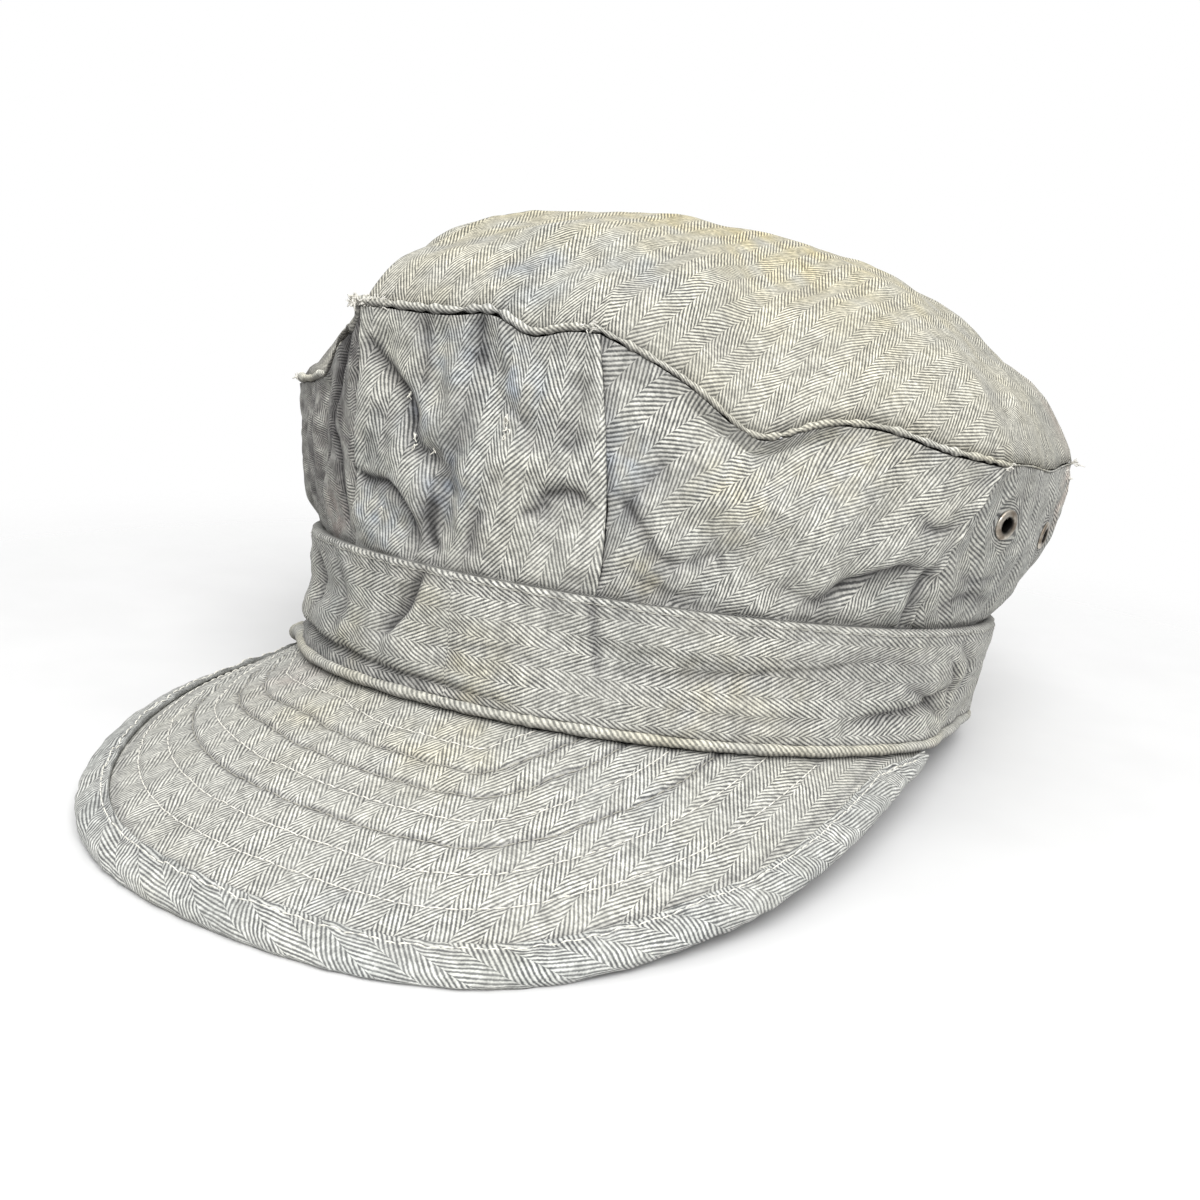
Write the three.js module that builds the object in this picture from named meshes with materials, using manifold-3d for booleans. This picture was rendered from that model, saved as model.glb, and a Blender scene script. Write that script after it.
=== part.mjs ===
// A worn cloth field cap, in millimetres with +Z up, at its real size.
// The sizes are given in the band's frame: its origin is the centre of the band's lower edge,
// the front of the cap is at -Y and the wearer's left at +X. The finished cap is pitched about X
// until the peak's front edge and the back of the band rest on the ground plane.

import * as THREE from "three";
import { mergeVertices } from "three/addons/utils/BufferGeometryUtils.js";
import Module from "manifold-3d";

const wasm = await Module();
wasm.setup();

// Gaps and cloth thicknesses
const gap = 0.3;
const crownCloth = 1.6;
const bandCloth = 2.2;
const peakCloth = 2.4;
const bindingCloth = 1.0;

// Band: an oval that opens a little towards its top and has settled askew, in degrees about Z
const band = { halfWidth: 87.0, halfLength: 100.3, flareWidth: 0.9, flareLength: 1.4, height: 29, skew: 3.5 };
const bandWelt = { radius: 1.9, outset: 0.6 };
const tuck = 4.5;
const calmDepth = 6;

// Peak: how steeply it slopes, in degrees, and how far it reaches from the band round the front.
// The angle is from the front towards the wearer's left, in degrees.
const peakSlope = 26.8;
const peakReaches = [
  { angle: -78, reach: 3.4 },
  { angle: -66, reach: 11.4 },
  { angle: -52, reach: 25.6 },
  { angle: -36, reach: 50.2 },
  { angle: -18, reach: 68.5 },
  { angle: 0, reach: 72.8 },
  { angle: 18, reach: 70.9 },
  { angle: 36, reach: 49.4 },
  { angle: 52, reach: 26.8 },
  { angle: 66, reach: 11.4 },
  { angle: 78, reach: 3.4 },
];
const binding = { width: 8, narrowest: 0.55, bulge: 0.5, rounding: 0.8, endAngle: 72 };

// Crown: the puffed top and the ridge round its edge. The top cloth starts lift above the edge line,
// and its rows of facets are shares of the way from the apex to the edge.
const crown = { apexY: -8, apexHeight: 115.8, fullness: 2.6, softness: 1.35, weltRadius: 1.4, lift: 0.5 };
const topShares = [1, 0.9, 0.75, 0.57, 0.34];

// Pose: how far the back of the band and the peak's edge press flat where they rest, measured from
// the lowest points that the round welt and the unpressed binding would have
const flatBack = 0.7;
const flatFront = 0.8;

// Corners of the crown, from the front one on the wearer's left round to the one on the right.
// foot is the angle round the band where the upright seam under the corner starts, belly is how far
// that seam swells out half way up, and lean is how far it strays along the panel towards the back.
const corners = [
  { x: 29.0, y: -104.0, z: 81.6, foot: 20.3, belly: 0.8, lean: 2.0 },
  { x: 96.5, y: -40.4, z: 68.0, foot: 70, belly: 2.0, lean: -6.0 },
  { x: 92.5, y: 48.0, z: 72.0, foot: 121, belly: 4.5, lean: 0 },
  { x: 34.0, y: 106.0, z: 69.0, foot: 160, belly: 1.5, lean: 0 },
  { x: -34.0, y: 106.0, z: 69.0, foot: 200, belly: 1.5, lean: 0 },
  { x: -92.5, y: 48.0, z: 70.0, foot: 239, belly: 3.0, lean: 0 },
  { x: -96.5, y: -40.4, z: 63.5, foot: 290, belly: 2.8, lean: 4.0 },
  { x: -29.0, y: -104.0, z: 81.6, foot: 336.0, belly: 0.8, lean: 1.0 },
];

// Panels in order round the crown, from the front towards the wearer's left.
// steps and rows are the facets across and up, bow is how far the top edge curves out of its chord,
// belly is how far the middle of the cloth swells out.
const panels = [
  { name: "front_panel", steps: 10, rows: 9, bow: 2.0, belly: 1.5 },
  { name: "left_side_panel", steps: 14, rows: 7, bow: 4.0, belly: 2.0 },
  { name: "left_rear_panel", steps: 12, rows: 5, bow: 2.0, belly: 0.5 },
  { name: "left_back_panel", steps: 10, rows: 5, bow: 3.0, belly: 1.5 },
  { name: "back_panel", steps: 8, rows: 5, bow: 2.0, belly: 1.5 },
  { name: "right_back_panel", steps: 10, rows: 5, bow: 3.0, belly: 1.5 },
  { name: "right_rear_panel", steps: 12, rows: 5, bow: 2.0, belly: 0.5 },
  { name: "right_side_panel", steps: 14, rows: 7, bow: 3.0, belly: 2.0 },
];

// Waves of the crown's edge: at and width are shares of the panel's width, drop is downwards.
const edgeWaves = [
  { panel: "front_panel", at: 0.58, width: 0.12, drop: -1.3 },
  { panel: "front_panel", at: 0.76, width: 0.1, drop: 2.6 },
  { panel: "left_side_panel", at: 0.36, width: 0.12, drop: 10.0 },
  { panel: "left_side_panel", at: 0.66, width: 0.14, drop: 1.0 },
  { panel: "left_rear_panel", at: 0.5, width: 0.2, drop: 1.5 },
  { panel: "right_side_panel", at: 0.35, width: 0.16, drop: 5.0 },
  { panel: "right_side_panel", at: 0.75, width: 0.16, drop: 8.0 },
  { panel: "left_back_panel", at: 0.5, width: 0.18, drop: 2.5 },
  { panel: "right_back_panel", at: 0.45, width: 0.18, drop: 3.0 },
];

// Folds of the upright panels: a line from (across, up) to (across, up) as shares of the panel,
// with its half width in mm and its depth in mm, which is inwards where positive.
const panelFolds = [
  { panel: "front_panel", across0: 0.1, up0: 0.85, across1: 0.36, up1: 0.45, half: 4, depth: 2.6 },
  { panel: "front_panel", across0: 0.36, up0: 0.98, across1: 0.38, up1: 0.7, half: 3.5, depth: 2.0 },
  { panel: "front_panel", across0: 0.58, up0: 0.98, across1: 0.6, up1: 0.6, half: 3.5, depth: 2.0 },
  { panel: "front_panel", across0: 0.04, up0: 0.32, across1: 0.3, up1: 0.05, half: 4, depth: 2.6 },
  { panel: "front_panel", across0: 0.45, up0: 0.3, across1: 0.42, up1: 0.0, half: 3.5, depth: 2.4 },
  { panel: "front_panel", across0: 0.8, up0: 0.35, across1: 0.98, up1: 0.4, half: 6, depth: 1.6 },
  { panel: "left_side_panel", across0: 0.02, up0: 0.6, across1: 0.3, up1: 0.3, half: 7, depth: 2.5 },
  { panel: "left_side_panel", across0: 0.3, up0: 0.45, across1: 0.5, up1: 0.1, half: 8, depth: 2.2 },
  { panel: "left_side_panel", across0: 0.25, up0: 0.92, across1: 0.5, up1: 0.92, half: 7, depth: 3.0 },
  { panel: "left_side_panel", across0: 0.72, up0: 0.18, across1: 0.98, up1: 0.3, half: 5, depth: 2.4 },
  { panel: "left_rear_panel", across0: 0.08, up0: 0.9, across1: 0.1, up1: 0.2, half: 4, depth: 1.2 },
  { panel: "right_side_panel", across0: 0.72, up0: 0.95, across1: 0.7, up1: 0.0, half: 5, depth: 3.0 },
  { panel: "right_side_panel", across0: 0.45, up0: 0.9, across1: 0.5, up1: 0.1, half: 6, depth: 2.6 },
  { panel: "right_side_panel", across0: 0.2, up0: 0.7, across1: 0.3, up1: 0.1, half: 6, depth: 1.8 },
  { panel: "left_back_panel", across0: 0.5, up0: 0.95, across1: 0.45, up1: 0.2, half: 7, depth: 2.0 },
  { panel: "back_panel", across0: 0.2, up0: 0.1, across1: 0.8, up1: 0.2, half: 5, depth: 1.6 },
  { panel: "right_back_panel", across0: 0.45, up0: 0.95, across1: 0.5, up1: 0.2, half: 7, depth: 2.0 },
];

// Folds of the band: from (angle, height) to (angle, height), half width and depth in mm.
const bandFolds = [
  { angle0: -9, height0: 29, angle1: -13, height1: 8, half: 3.5, depth: 1.8 },
  { angle0: 16, height0: 27, angle1: 18, height1: 12, half: 3.5, depth: 1.2 },
  { angle0: 22, height0: 17, angle1: 62, height1: 15, half: 4.5, depth: 1.2 },
  { angle0: 60, height0: 6, angle1: 88, height1: 12, half: 4, depth: 1.6 },
  { angle0: -30, height0: 18, angle1: -60, height1: 14, half: 5, depth: 1.6 },
  { angle0: 150, height0: 10, angle1: 200, height1: 14, half: 5, depth: 1.2 },
  { angle0: -92, height0: 4, angle1: -92, height1: 27, half: 16, depth: -1.6 },
];

// Ridges and hollows of the top cloth, in plan: half width and height in mm, upwards where positive.
const topFolds = [
  { x0: 84, y0: -34, x1: 68, y1: 30, half: 12, height: 1.2 },
  { x0: -28, y0: -104, x1: -25, y1: -88, half: 10, height: 3.4 },
  { x0: -28, y0: -80, x1: -22, y1: -40, half: 12, height: 1.2 },
  { x0: -8, y0: -74, x1: -4, y1: -46, half: 12, height: -1.0 },
  { x0: 26, y0: -104, x1: 20, y1: -60, half: 9, height: -2.5 },
  { x0: 52, y0: -78, x1: 44, y1: -50, half: 13, height: -3.0 },
  { x0: -80, y0: -40, x1: -60, y1: 30, half: 12, height: 3 },
  { x0: 40, y0: 60, x1: 10, y1: 92, half: 12, height: -2.5 },
];

// Eyelets on each rear panel, as shares of the panel
const eyelet = { flange: 3.7, barrel: 2.4, bore: 1.7, lip: 0.7, sides: 12 };
const eyeletPlaces = [
  { number: 1, across: 0.22, up: 0.66 },
  { number: 2, across: 0.68, up: 0.58 },
];

const facets = { round: 88, weltSides: 6, bandWeltSides: 6, peakRows: 3, peakStep: 3 };

const radians = (degrees) => (degrees * Math.PI) / 180;
const lerp = (a, b, t) => a + (b - a) * t;
const bell = (distance, half) => Math.exp(-((distance / half) ** 2));

// Distance in the plane from the point (x, y) to the line from (x0, y0) to (x1, y1)
function lineDistance(x, y, x0, y0, x1, y1) {
  const dx = x1 - x0;
  const dy = y1 - y0;
  const along = Math.min(1, Math.max(0, ((x - x0) * dx + (y - y0) * dy) / (dx * dx + dy * dy)));
  return Math.hypot(x - x0 - along * dx, y - y0 - along * dy);
}

const zAxis = new THREE.Vector3(0, 0, 1);
const skew = radians(band.skew);

// The outward direction of the band's oval at an angle round it, from the front towards +X
function ovalNormal(angle) {
  const x = Math.sin(angle - skew) / band.halfWidth;
  const y = -Math.cos(angle - skew) / band.halfLength;
  return new THREE.Vector3(x, y, 0).normalize().applyAxisAngle(zAxis, skew);
}

// A point of the band's oval at an angle and a height, moved inwards by inset
function ovalPoint(angle, height, inset = 0) {
  const share = height / band.height;
  const x = (band.halfWidth + band.flareWidth * share) * Math.sin(angle - skew);
  const y = -(band.halfLength + band.flareLength * share) * Math.cos(angle - skew);
  const point = new THREE.Vector3(x, y, height).applyAxisAngle(zAxis, skew);
  return point.addScaledVector(ovalNormal(angle), -inset);
}

// How far the band's folds push its cloth inwards at an angle in degrees and a height.
// Hollows fade out over calmDepth below the stretch that holds the crown's tucked edge.
function bandDent(degrees, height) {
  const mmPerDegree = (Math.PI * (band.halfWidth + band.halfLength)) / 360;
  let dent = 0;
  for (const fold of bandFolds) {
    let turned = degrees;
    while (turned < (fold.angle0 + fold.angle1) / 2 - 180) turned += 360;
    while (turned > (fold.angle0 + fold.angle1) / 2 + 180) turned -= 360;
    const away = lineDistance(
      turned * mmPerDegree,
      height,
      fold.angle0 * mmPerDegree,
      fold.height0,
      fold.angle1 * mmPerDegree,
      fold.height1,
    );
    const calm = fold.depth > 0 ? (band.height - tuck - height) / calmDepth : 1;
    dent += fold.depth * bell(away, fold.half) * Math.min(1, Math.max(0, calm));
  }
  return dent;
}

// The corners where a panel starts and ends
const lastCorner = corners.at(-1);
const startCorner = (index) => corners[index - 1] ?? { ...lastCorner, foot: lastCorner.foot - 360 };
const endCorner = (index) => corners[index];

// A point of the crown's edge over a panel, at a share of the panel's width
function edgePoint(index, across) {
  const panel = panels[index];
  const start = startCorner(index);
  const end = endCorner(index);
  const point = new THREE.Vector3(lerp(start.x, end.x, across), lerp(start.y, end.y, across), 0);
  const out = new THREE.Vector3(end.y - start.y, start.x - end.x, 0).normalize();
  point.addScaledVector(out, panel.bow * 4 * across * (1 - across));
  let height = lerp(start.z, end.z, across);
  for (const wave of edgeWaves) {
    if (wave.panel !== panel.name) continue;
    const ends = Math.sin(Math.PI * across) ** 0.5;
    height -= wave.drop * bell(across - wave.at, wave.width) * ends;
  }
  point.z = height;
  return point;
}

// The level direction square to the crown's edge and how steeply the edge climbs there
function edgeFrame(index, across) {
  const step = 0.01;
  const a = edgePoint(index, Math.max(0, across - step));
  const b = edgePoint(index, Math.min(1, across + step));
  const level = Math.hypot(b.x - a.x, b.y - a.y);
  const out = new THREE.Vector3(b.y - a.y, a.x - b.x, 0).divideScalar(level);
  return { out, stretch: Math.hypot(level, b.z - a.z) / level };
}

const footAngle = (index, across) => radians(lerp(startCorner(index).foot, endCorner(index).foot, across));

// How far the folds of a panel push its cloth inwards
function panelDent(index, across, up) {
  const panel = panels[index];
  const start = startCorner(index);
  const end = endCorner(index);
  const width = Math.hypot(end.x - start.x, end.y - start.y);
  const height = (start.z + end.z) / 2 - band.height;
  let dent = 0;
  for (const fold of panelFolds) {
    if (fold.panel !== panel.name) continue;
    const away = lineDistance(
      across * width,
      up * height,
      fold.across0 * width,
      fold.up0 * height,
      fold.across1 * width,
      fold.up1 * height,
    );
    dent += fold.depth * bell(away, fold.half);
  }
  return dent * Math.sin(Math.PI * across) ** 0.5;
}

// A point of an upright panel's outer face: across is a share of its width and up of its height.
// Below 0, up runs down inside the band, to -1 at the tuck's lower edge.
function panelPoint(index, across, up, inset = 0) {
  const angle = footAngle(index, across);
  const normal = ovalNormal(angle);
  const behindBand = bandCloth + gap;
  if (up < 0) return ovalPoint(angle, band.height + up * tuck, behindBand + inset);
  const foot = ovalPoint(angle, band.height + gap, behindBand);
  const top = edgePoint(index, across);
  const { stretch } = edgeFrame(index, across);
  top.z -= (crown.weltRadius + gap) * stretch;
  const point = foot.clone().lerp(top, up);
  const start = startCorner(index);
  const end = endCorner(index);
  const arch = Math.sin(Math.PI * up ** 0.75);
  const middle = panels[index].belly * Math.sin(Math.PI * across) ** 0.5;
  const swell = (lerp(start.belly, end.belly, across) + middle) * arch;
  const release = Math.min(1, up / 0.15) * Math.min(1, (1 - up) / 0.08);
  const dent = panelDent(index, across, up) * release;
  point.addScaledVector(zAxis.clone().cross(normal), lerp(start.lean, end.lean, across) * arch);
  return point.addScaledVector(normal, swell - dent - inset);
}

// Closes an outer and an inner grid of points, rows by columns, into one solid.
// A looped grid joins its last column to its first. Rows run upwards and columns counterclockwise.
function solidFromGrids(outer, inner, looped = false) {
  const rows = outer.length;
  const columns = outer[0].length;
  const positions = [];
  for (const grid of [outer, inner]) {
    for (const row of grid) for (const point of row) positions.push(point.x, point.y, point.z);
  }
  const at = (layer, row, column) => layer * rows * columns + row * columns + (column % columns);
  const faces = [];
  const quad = (a, b, c, d) => faces.push(a, b, c, a, c, d);
  const spans = looped ? columns : columns - 1;
  for (let column = 0; column < spans; column += 1) {
    for (let row = 0; row < rows - 1; row += 1) {
      quad(at(0, row, column), at(0, row, column + 1), at(0, row + 1, column + 1), at(0, row + 1, column));
      quad(at(1, row, column), at(1, row + 1, column), at(1, row + 1, column + 1), at(1, row, column + 1));
    }
    const top = rows - 1;
    quad(at(0, top, column), at(0, top, column + 1), at(1, top, column + 1), at(1, top, column));
    quad(at(1, 0, column), at(1, 0, column + 1), at(0, 0, column + 1), at(0, 0, column));
  }
  if (!looped) {
    const last = columns - 1;
    for (let row = 0; row < rows - 1; row += 1) {
      quad(at(0, row, last), at(1, row, last), at(1, row + 1, last), at(0, row + 1, last));
      quad(at(1, row, 0), at(0, row, 0), at(0, row + 1, 0), at(1, row + 1, 0));
    }
  }
  return geometryFrom(positions, faces);
}

// Sweeps closed sections, given as rows of points, into one solid: looped, or closed with flat ends
function solidFromSections(sections, looped) {
  const count = sections.length;
  const sides = sections[0].length;
  const positions = sections.flat().flatMap((point) => [point.x, point.y, point.z]);
  const faces = [];
  const spans = looped ? count : count - 1;
  for (let i = 0; i < spans; i += 1) {
    for (let k = 0; k < sides; k += 1) {
      const a = i * sides + k;
      const b = i * sides + ((k + 1) % sides);
      const c = ((i + 1) % count) * sides + ((k + 1) % sides);
      const d = ((i + 1) % count) * sides + k;
      faces.push(a, c, b, a, d, c);
    }
  }
  if (!looped) {
    const last = (count - 1) * sides;
    for (const [x, y, z] of sectionTriangles(sides)) {
      faces.push(x, y, z);
      faces.push(last + x, last + z, last + y);
    }
  }
  return geometryFrom(positions, faces);
}

// Triangles that fill a section whose first half runs out along one face and second half back
function sectionTriangles(sides) {
  const triangles = [];
  for (let k = 0; k < sides / 2 - 1; k += 1) {
    triangles.push([k, k + 1, sides - 2 - k]);
    triangles.push([k, sides - 2 - k, sides - 1 - k]);
  }
  return triangles;
}

function geometryFrom(positions, faces) {
  const geometry = new THREE.BufferGeometry();
  geometry.setAttribute("position", new THREE.Float32BufferAttribute(positions, 3));
  geometry.setIndex(faces);
  return geometry;
}

// Upright panel of the crown, its lower edge tucked inside the band
function panelGeometry(index) {
  const { steps, rows } = panels[index];
  const start = startCorner(index);
  const end = endCorner(index);
  const trim = gap / 2 / Math.hypot(end.x - start.x, end.y - start.y);
  const ups = [-1, 0, ...Array.from({ length: rows }, (_, i) => ((i + 1) / rows) ** 1.15)];
  const columns = Array.from({ length: steps + 1 }, (_, i) => lerp(trim, 1 - trim, i / steps));
  const grid = (inset) => ups.map((up) => columns.map((across) => panelPoint(index, across, up, inset)));
  return solidFromGrids(grid(0), grid(crownCloth));
}

// The crown's edge as one loop of stations
function edgeStations() {
  const stations = [];
  panels.forEach((panel, index) => {
    for (let i = 0; i < panel.steps; i += 1) {
      const across = i / panel.steps;
      const { out, stretch } = edgeFrame(index, across);
      const station = { point: edgePoint(index, across), out, stretch };
      if (i === 0) {
        const before = edgeFrame((index + 7) % 8, 1).out;
        const middle = out.clone().add(before).normalize();
        station.out = middle.clone().divideScalar(middle.dot(out));
      }
      stations.push(station);
    }
  });
  return stations;
}

// A point of the top cloth over a station of the crown's edge, at a share of the way from the apex:
// straight in plan, with its height full near the edge
function topPoint(station, share) {
  const edge = station.point.clone().addScaledVector(station.out, -(crown.weltRadius + 1.2 * gap));
  edge.z += crown.lift;
  const point = new THREE.Vector3(0, crown.apexY, crown.apexHeight).lerp(edge, share);
  point.z = lerp(edge.z, crown.apexHeight, (1 - share ** crown.fullness) ** (1 / crown.softness));
  const release = Math.min(1, (1 - share) / 0.2);
  for (const fold of topFolds) {
    const away = lineDistance(point.x, point.y, fold.x0, fold.y0, fold.x1, fold.y1);
    point.z += fold.height * bell(away, fold.half) * release;
  }
  return point;
}

// Puffed top cloth: an outer shell of rings and an apex, an inner one its thickness below it
function crownTopGeometry() {
  const stations = edgeStations();
  const count = stations.length;
  const outer = topShares.flatMap((share) => stations.map((station) => topPoint(station, share)));
  outer.push(topPoint(stations[0], 0));
  const size = outer.length;
  const shell = [];
  const rim = [];
  for (let i = 0; i < count; i += 1) {
    const j = (i + 1) % count;
    for (let row = 0; row < topShares.length - 1; row += 1) {
      const a = row * count + i;
      const b = row * count + j;
      shell.push([a, b, b + count], [a, b + count, a + count]);
    }
    shell.push([size - 1 - count + i, size - 1 - count + j, size - 1]);
    rim.push([size + i, size + j, j], [size + i, j, i]);
  }
  const flat = (points) => points.flatMap((point) => [point.x, point.y, point.z]);
  const skin = geometryFrom(flat(outer), shell.flat());
  skin.computeVertexNormals();
  const normals = skin.attributes.normal;
  const inner = outer.map((point, i) => {
    return point.clone().addScaledVector(new THREE.Vector3().fromBufferAttribute(normals, i), -crownCloth);
  });
  const lining = shell.map(([a, b, c]) => [size + a, size + c, size + b]);
  return geometryFrom(flat([...outer, ...inner]), [...shell, ...lining, ...rim].flat());
}

// The raised seam ridge, a round cord of cloth along the crown's edge
function crownWeltGeometry() {
  const sections = edgeStations().map(({ point, out, stretch }) => {
    const section = [];
    for (let k = 0; k < facets.weltSides; k += 1) {
      const turn = (2 * Math.PI * k) / facets.weltSides;
      const corner = point.clone();
      corner.addScaledVector(out, crown.weltRadius * Math.cos(turn));
      corner.z += crown.weltRadius * stretch * Math.sin(turn);
      section.push(corner);
    }
    return section;
  });
  return solidFromSections(sections, true);
}

// Band wall from just over the rolled welt to its folded top edge
function bandGeometry() {
  const foot = 2 * bandWelt.radius + gap;
  const heights = [foot, band.height / 2, band.height - tuck, band.height];
  const grid = (inset) =>
    heights.map((height) =>
      Array.from({ length: facets.round }, (_, i) => {
        const degrees = (360 * i) / facets.round;
        return ovalPoint(radians(degrees), height, inset + bandDent(degrees, height));
      }),
    );
  return solidFromGrids(grid(0), grid(bandCloth), true);
}

// The rolled lower edge of the band
function bandWeltGeometry() {
  const sections = Array.from({ length: facets.round }, (_, i) => {
    const angle = (2 * Math.PI * i) / facets.round;
    const centre = ovalPoint(angle, 0, bandWelt.radius - bandWelt.outset);
    centre.z = bandWelt.radius;
    return Array.from({ length: facets.bandWeltSides }, (_, k) => {
      const turn = (2 * Math.PI * k) / facets.bandWeltSides;
      const point = centre.clone().addScaledVector(ovalNormal(angle), bandWelt.radius * Math.cos(turn));
      point.z += bandWelt.radius * Math.sin(turn);
      return point;
    });
  });
  return solidFromSections(sections, true);
}

// A smooth curve through the rows of a table, read at an angle in degrees
function readTable(rows, degrees) {
  const last = rows.length - 1;
  const i = Math.min(last - 1, rows.findLastIndex((row) => row.angle <= degrees));
  const slopeAt = (k) => {
    const a = rows[Math.max(0, k - 1)];
    const b = rows[Math.min(last, k + 1)];
    return (b.reach - a.reach) / (b.angle - a.angle);
  };
  const width = rows[i + 1].angle - rows[i].angle;
  const t = (degrees - rows[i].angle) / width;
  const rise = width * (t * (1 - t) ** 2 * slopeAt(i) - t * t * (1 - t) * slopeAt(i + 1));
  const blend = t * t * (3 - 2 * t);
  return lerp(rows[i].reach, rows[i + 1].reach, blend) + rise;
}

// A point of the sloping peak at an angle round the band: out is along its face from the band and
// depth is square to that face, downwards from its top.
function peakPoint(degrees, out, depth) {
  const slope = radians(peakSlope);
  const point = ovalPoint(radians(degrees), 0, bandWelt.radius);
  point.addScaledVector(ovalNormal(radians(degrees)), out * Math.cos(slope) - depth * Math.sin(slope));
  point.z = -gap - out * Math.sin(slope) - depth * Math.cos(slope);
  return point;
}
const peakReach = (degrees) => readTable(peakReaches, degrees);
const peakEnd = peakReaches.at(-1).angle;

// Angles in degrees at equal steps, which the peak and its binding share
const degreeSteps = (from, to) => {
  const count = Math.round(Math.abs(to - from) / facets.peakStep);
  return Array.from({ length: count + 1 }, (_, i) => lerp(from, to, i / count));
};

// The peak's sheet stops short of the bound edge's fold
function peakGeometry() {
  const columns = degreeSteps(-peakEnd, peakEnd);
  const fold = bindingCloth + gap;
  const grid = (depth) =>
    Array.from({ length: facets.peakRows + 1 }, (_, row) =>
      columns.map((degrees) => {
        const reach = peakReach(degrees) - fold;
        return peakPoint(degrees, reach * (1 - row / facets.peakRows), depth);
      }),
    );
  return solidFromGrids(grid(0), grid(peakCloth));
}

// Bias strip folded over the peak's edge: a U in section, open towards the band
function peakBindingGeometry() {
  const sections = degreeSteps(binding.endAngle, -binding.endAngle).map((degrees) => {
    const reach = peakReach(degrees);
    const lip = reach - Math.min(binding.width, reach * binding.narrowest);
    const middle = (reach + lip) / 2;
    const half = peakCloth / 2;
    const inner = half + gap;
    const outer = inner + bindingCloth;
    const swollen = outer + binding.bulge / 2;
    const fold = reach - bindingCloth;
    const profile = [
      [lip, -outer],
      [middle, -swollen],
      [reach - binding.rounding, -outer * 0.8],
      [reach, 0],
      [reach - binding.rounding, outer * 0.8],
      [middle, swollen],
      [lip, outer],
      [lip, inner],
      [middle, inner],
      [fold, inner],
      [fold, 0],
      [fold, -inner],
      [middle, -inner],
      [lip, -inner],
    ];
    return profile.map(([out, depth]) => peakPoint(degrees, out, half + depth));
  });
  return solidFromSections(sections, false);
}

function toManifold(geometry) {
  const bare = geometry.clone();
  for (const name of Object.keys(bare.attributes)) {
    if (name !== "position") bare.deleteAttribute(name);
  }
  const merged = mergeVertices(bare, 1e-4);
  const mesh = new wasm.Mesh({
    numProp: 3,
    vertProperties: new Float32Array(merged.attributes.position.array),
    triVerts: new Uint32Array(merged.index.array),
  });
  return new wasm.Manifold(mesh);
}
function fromManifold(solid) {
  const mesh = solid.getMesh();
  return geometryFrom(Array.from(mesh.vertProperties), Array.from(mesh.triVerts));
}

// The middle of an eyelet on its panel and the direction that it faces
function eyeletFrame(index, place) {
  const side = panels[index].name.startsWith("left") ? place.across : 1 - place.across;
  const centre = panelPoint(index, side, place.up, crownCloth / 2);
  const span = 0.03;
  const along = panelPoint(index, side + span, place.up).sub(panelPoint(index, side - span, place.up));
  const up = panelPoint(index, side, place.up + span).sub(panelPoint(index, side, place.up - span));
  const facing = along.cross(up).normalize();
  const turn = new THREE.Quaternion().setFromUnitVectors(new THREE.Vector3(0, 1, 0), facing);
  return new THREE.Matrix4().compose(centre, turn, new THREE.Vector3(1, 1, 1));
}

// Two flanges joined by a barrel through the cloth
function eyeletGeometry(frame) {
  const reach = crownCloth / 2 + gap;
  const { flange, barrel, bore, lip, sides } = eyelet;
  const profile = [
    [bore, -reach - lip],
    [flange, -reach - lip * 0.5],
    [flange, -reach],
    [barrel, -reach],
    [barrel, reach],
    [flange, reach],
    [flange, reach + lip * 0.5],
    [bore, reach + lip],
    [bore, -reach - lip],
  ].map(([x, y]) => new THREE.Vector2(x, y));
  return new THREE.LatheGeometry(profile, sides).applyMatrix4(frame);
}
function eyeletHole(frame) {
  const radius = eyelet.barrel + gap;
  return new THREE.CylinderGeometry(radius, radius, 12, eyelet.sides).applyMatrix4(frame);
}

// Pitch of the resting cap: the line under the peak's front edge and the back of the band is level
const frontEdge = peakPoint(0, peakReach(0), peakCloth + gap + bindingCloth);
const backEdge = ovalPoint(Math.PI, 0, bandWelt.radius - bandWelt.outset);
const pitch = Math.atan2(
  backEdge.z + flatBack - (frontEdge.z + flatFront),
  backEdge.y - frontEdge.y,
);

// Turns a point of the band's frame into the resting cap's frame and presses it flat on the ground
const sitting = new THREE.Matrix4().makeRotationX(-pitch);
const backDown = backEdge.clone().applyMatrix4(sitting);
const lift = -(backDown.z + flatBack * Math.cos(pitch));
function settle(geometry) {
  geometry.applyMatrix4(sitting);
  const place = geometry.attributes.position;
  for (let i = 0; i < place.count; i += 1) {
    place.setZ(i, Math.max(0, place.getZ(i) + lift));
  }
  return geometry;
}

const cloths = {
  crown: new THREE.MeshStandardMaterial({ color: 0xa5a799, roughness: 0.95, metalness: 0 }),
  band: new THREE.MeshStandardMaterial({ color: 0xa09f90, roughness: 0.95, metalness: 0 }),
  peak: new THREE.MeshStandardMaterial({ color: 0xa3a28f, roughness: 0.95, metalness: 0 }),
};
const brass = new THREE.MeshStandardMaterial({ color: 0x7d6f5c, roughness: 0.4, metalness: 1 });

const cap = new THREE.Group();
function add(name, geometry, material) {
  const mesh = new THREE.Mesh(settle(geometry), material);
  mesh.name = name;
  cap.add(mesh);
}

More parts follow.
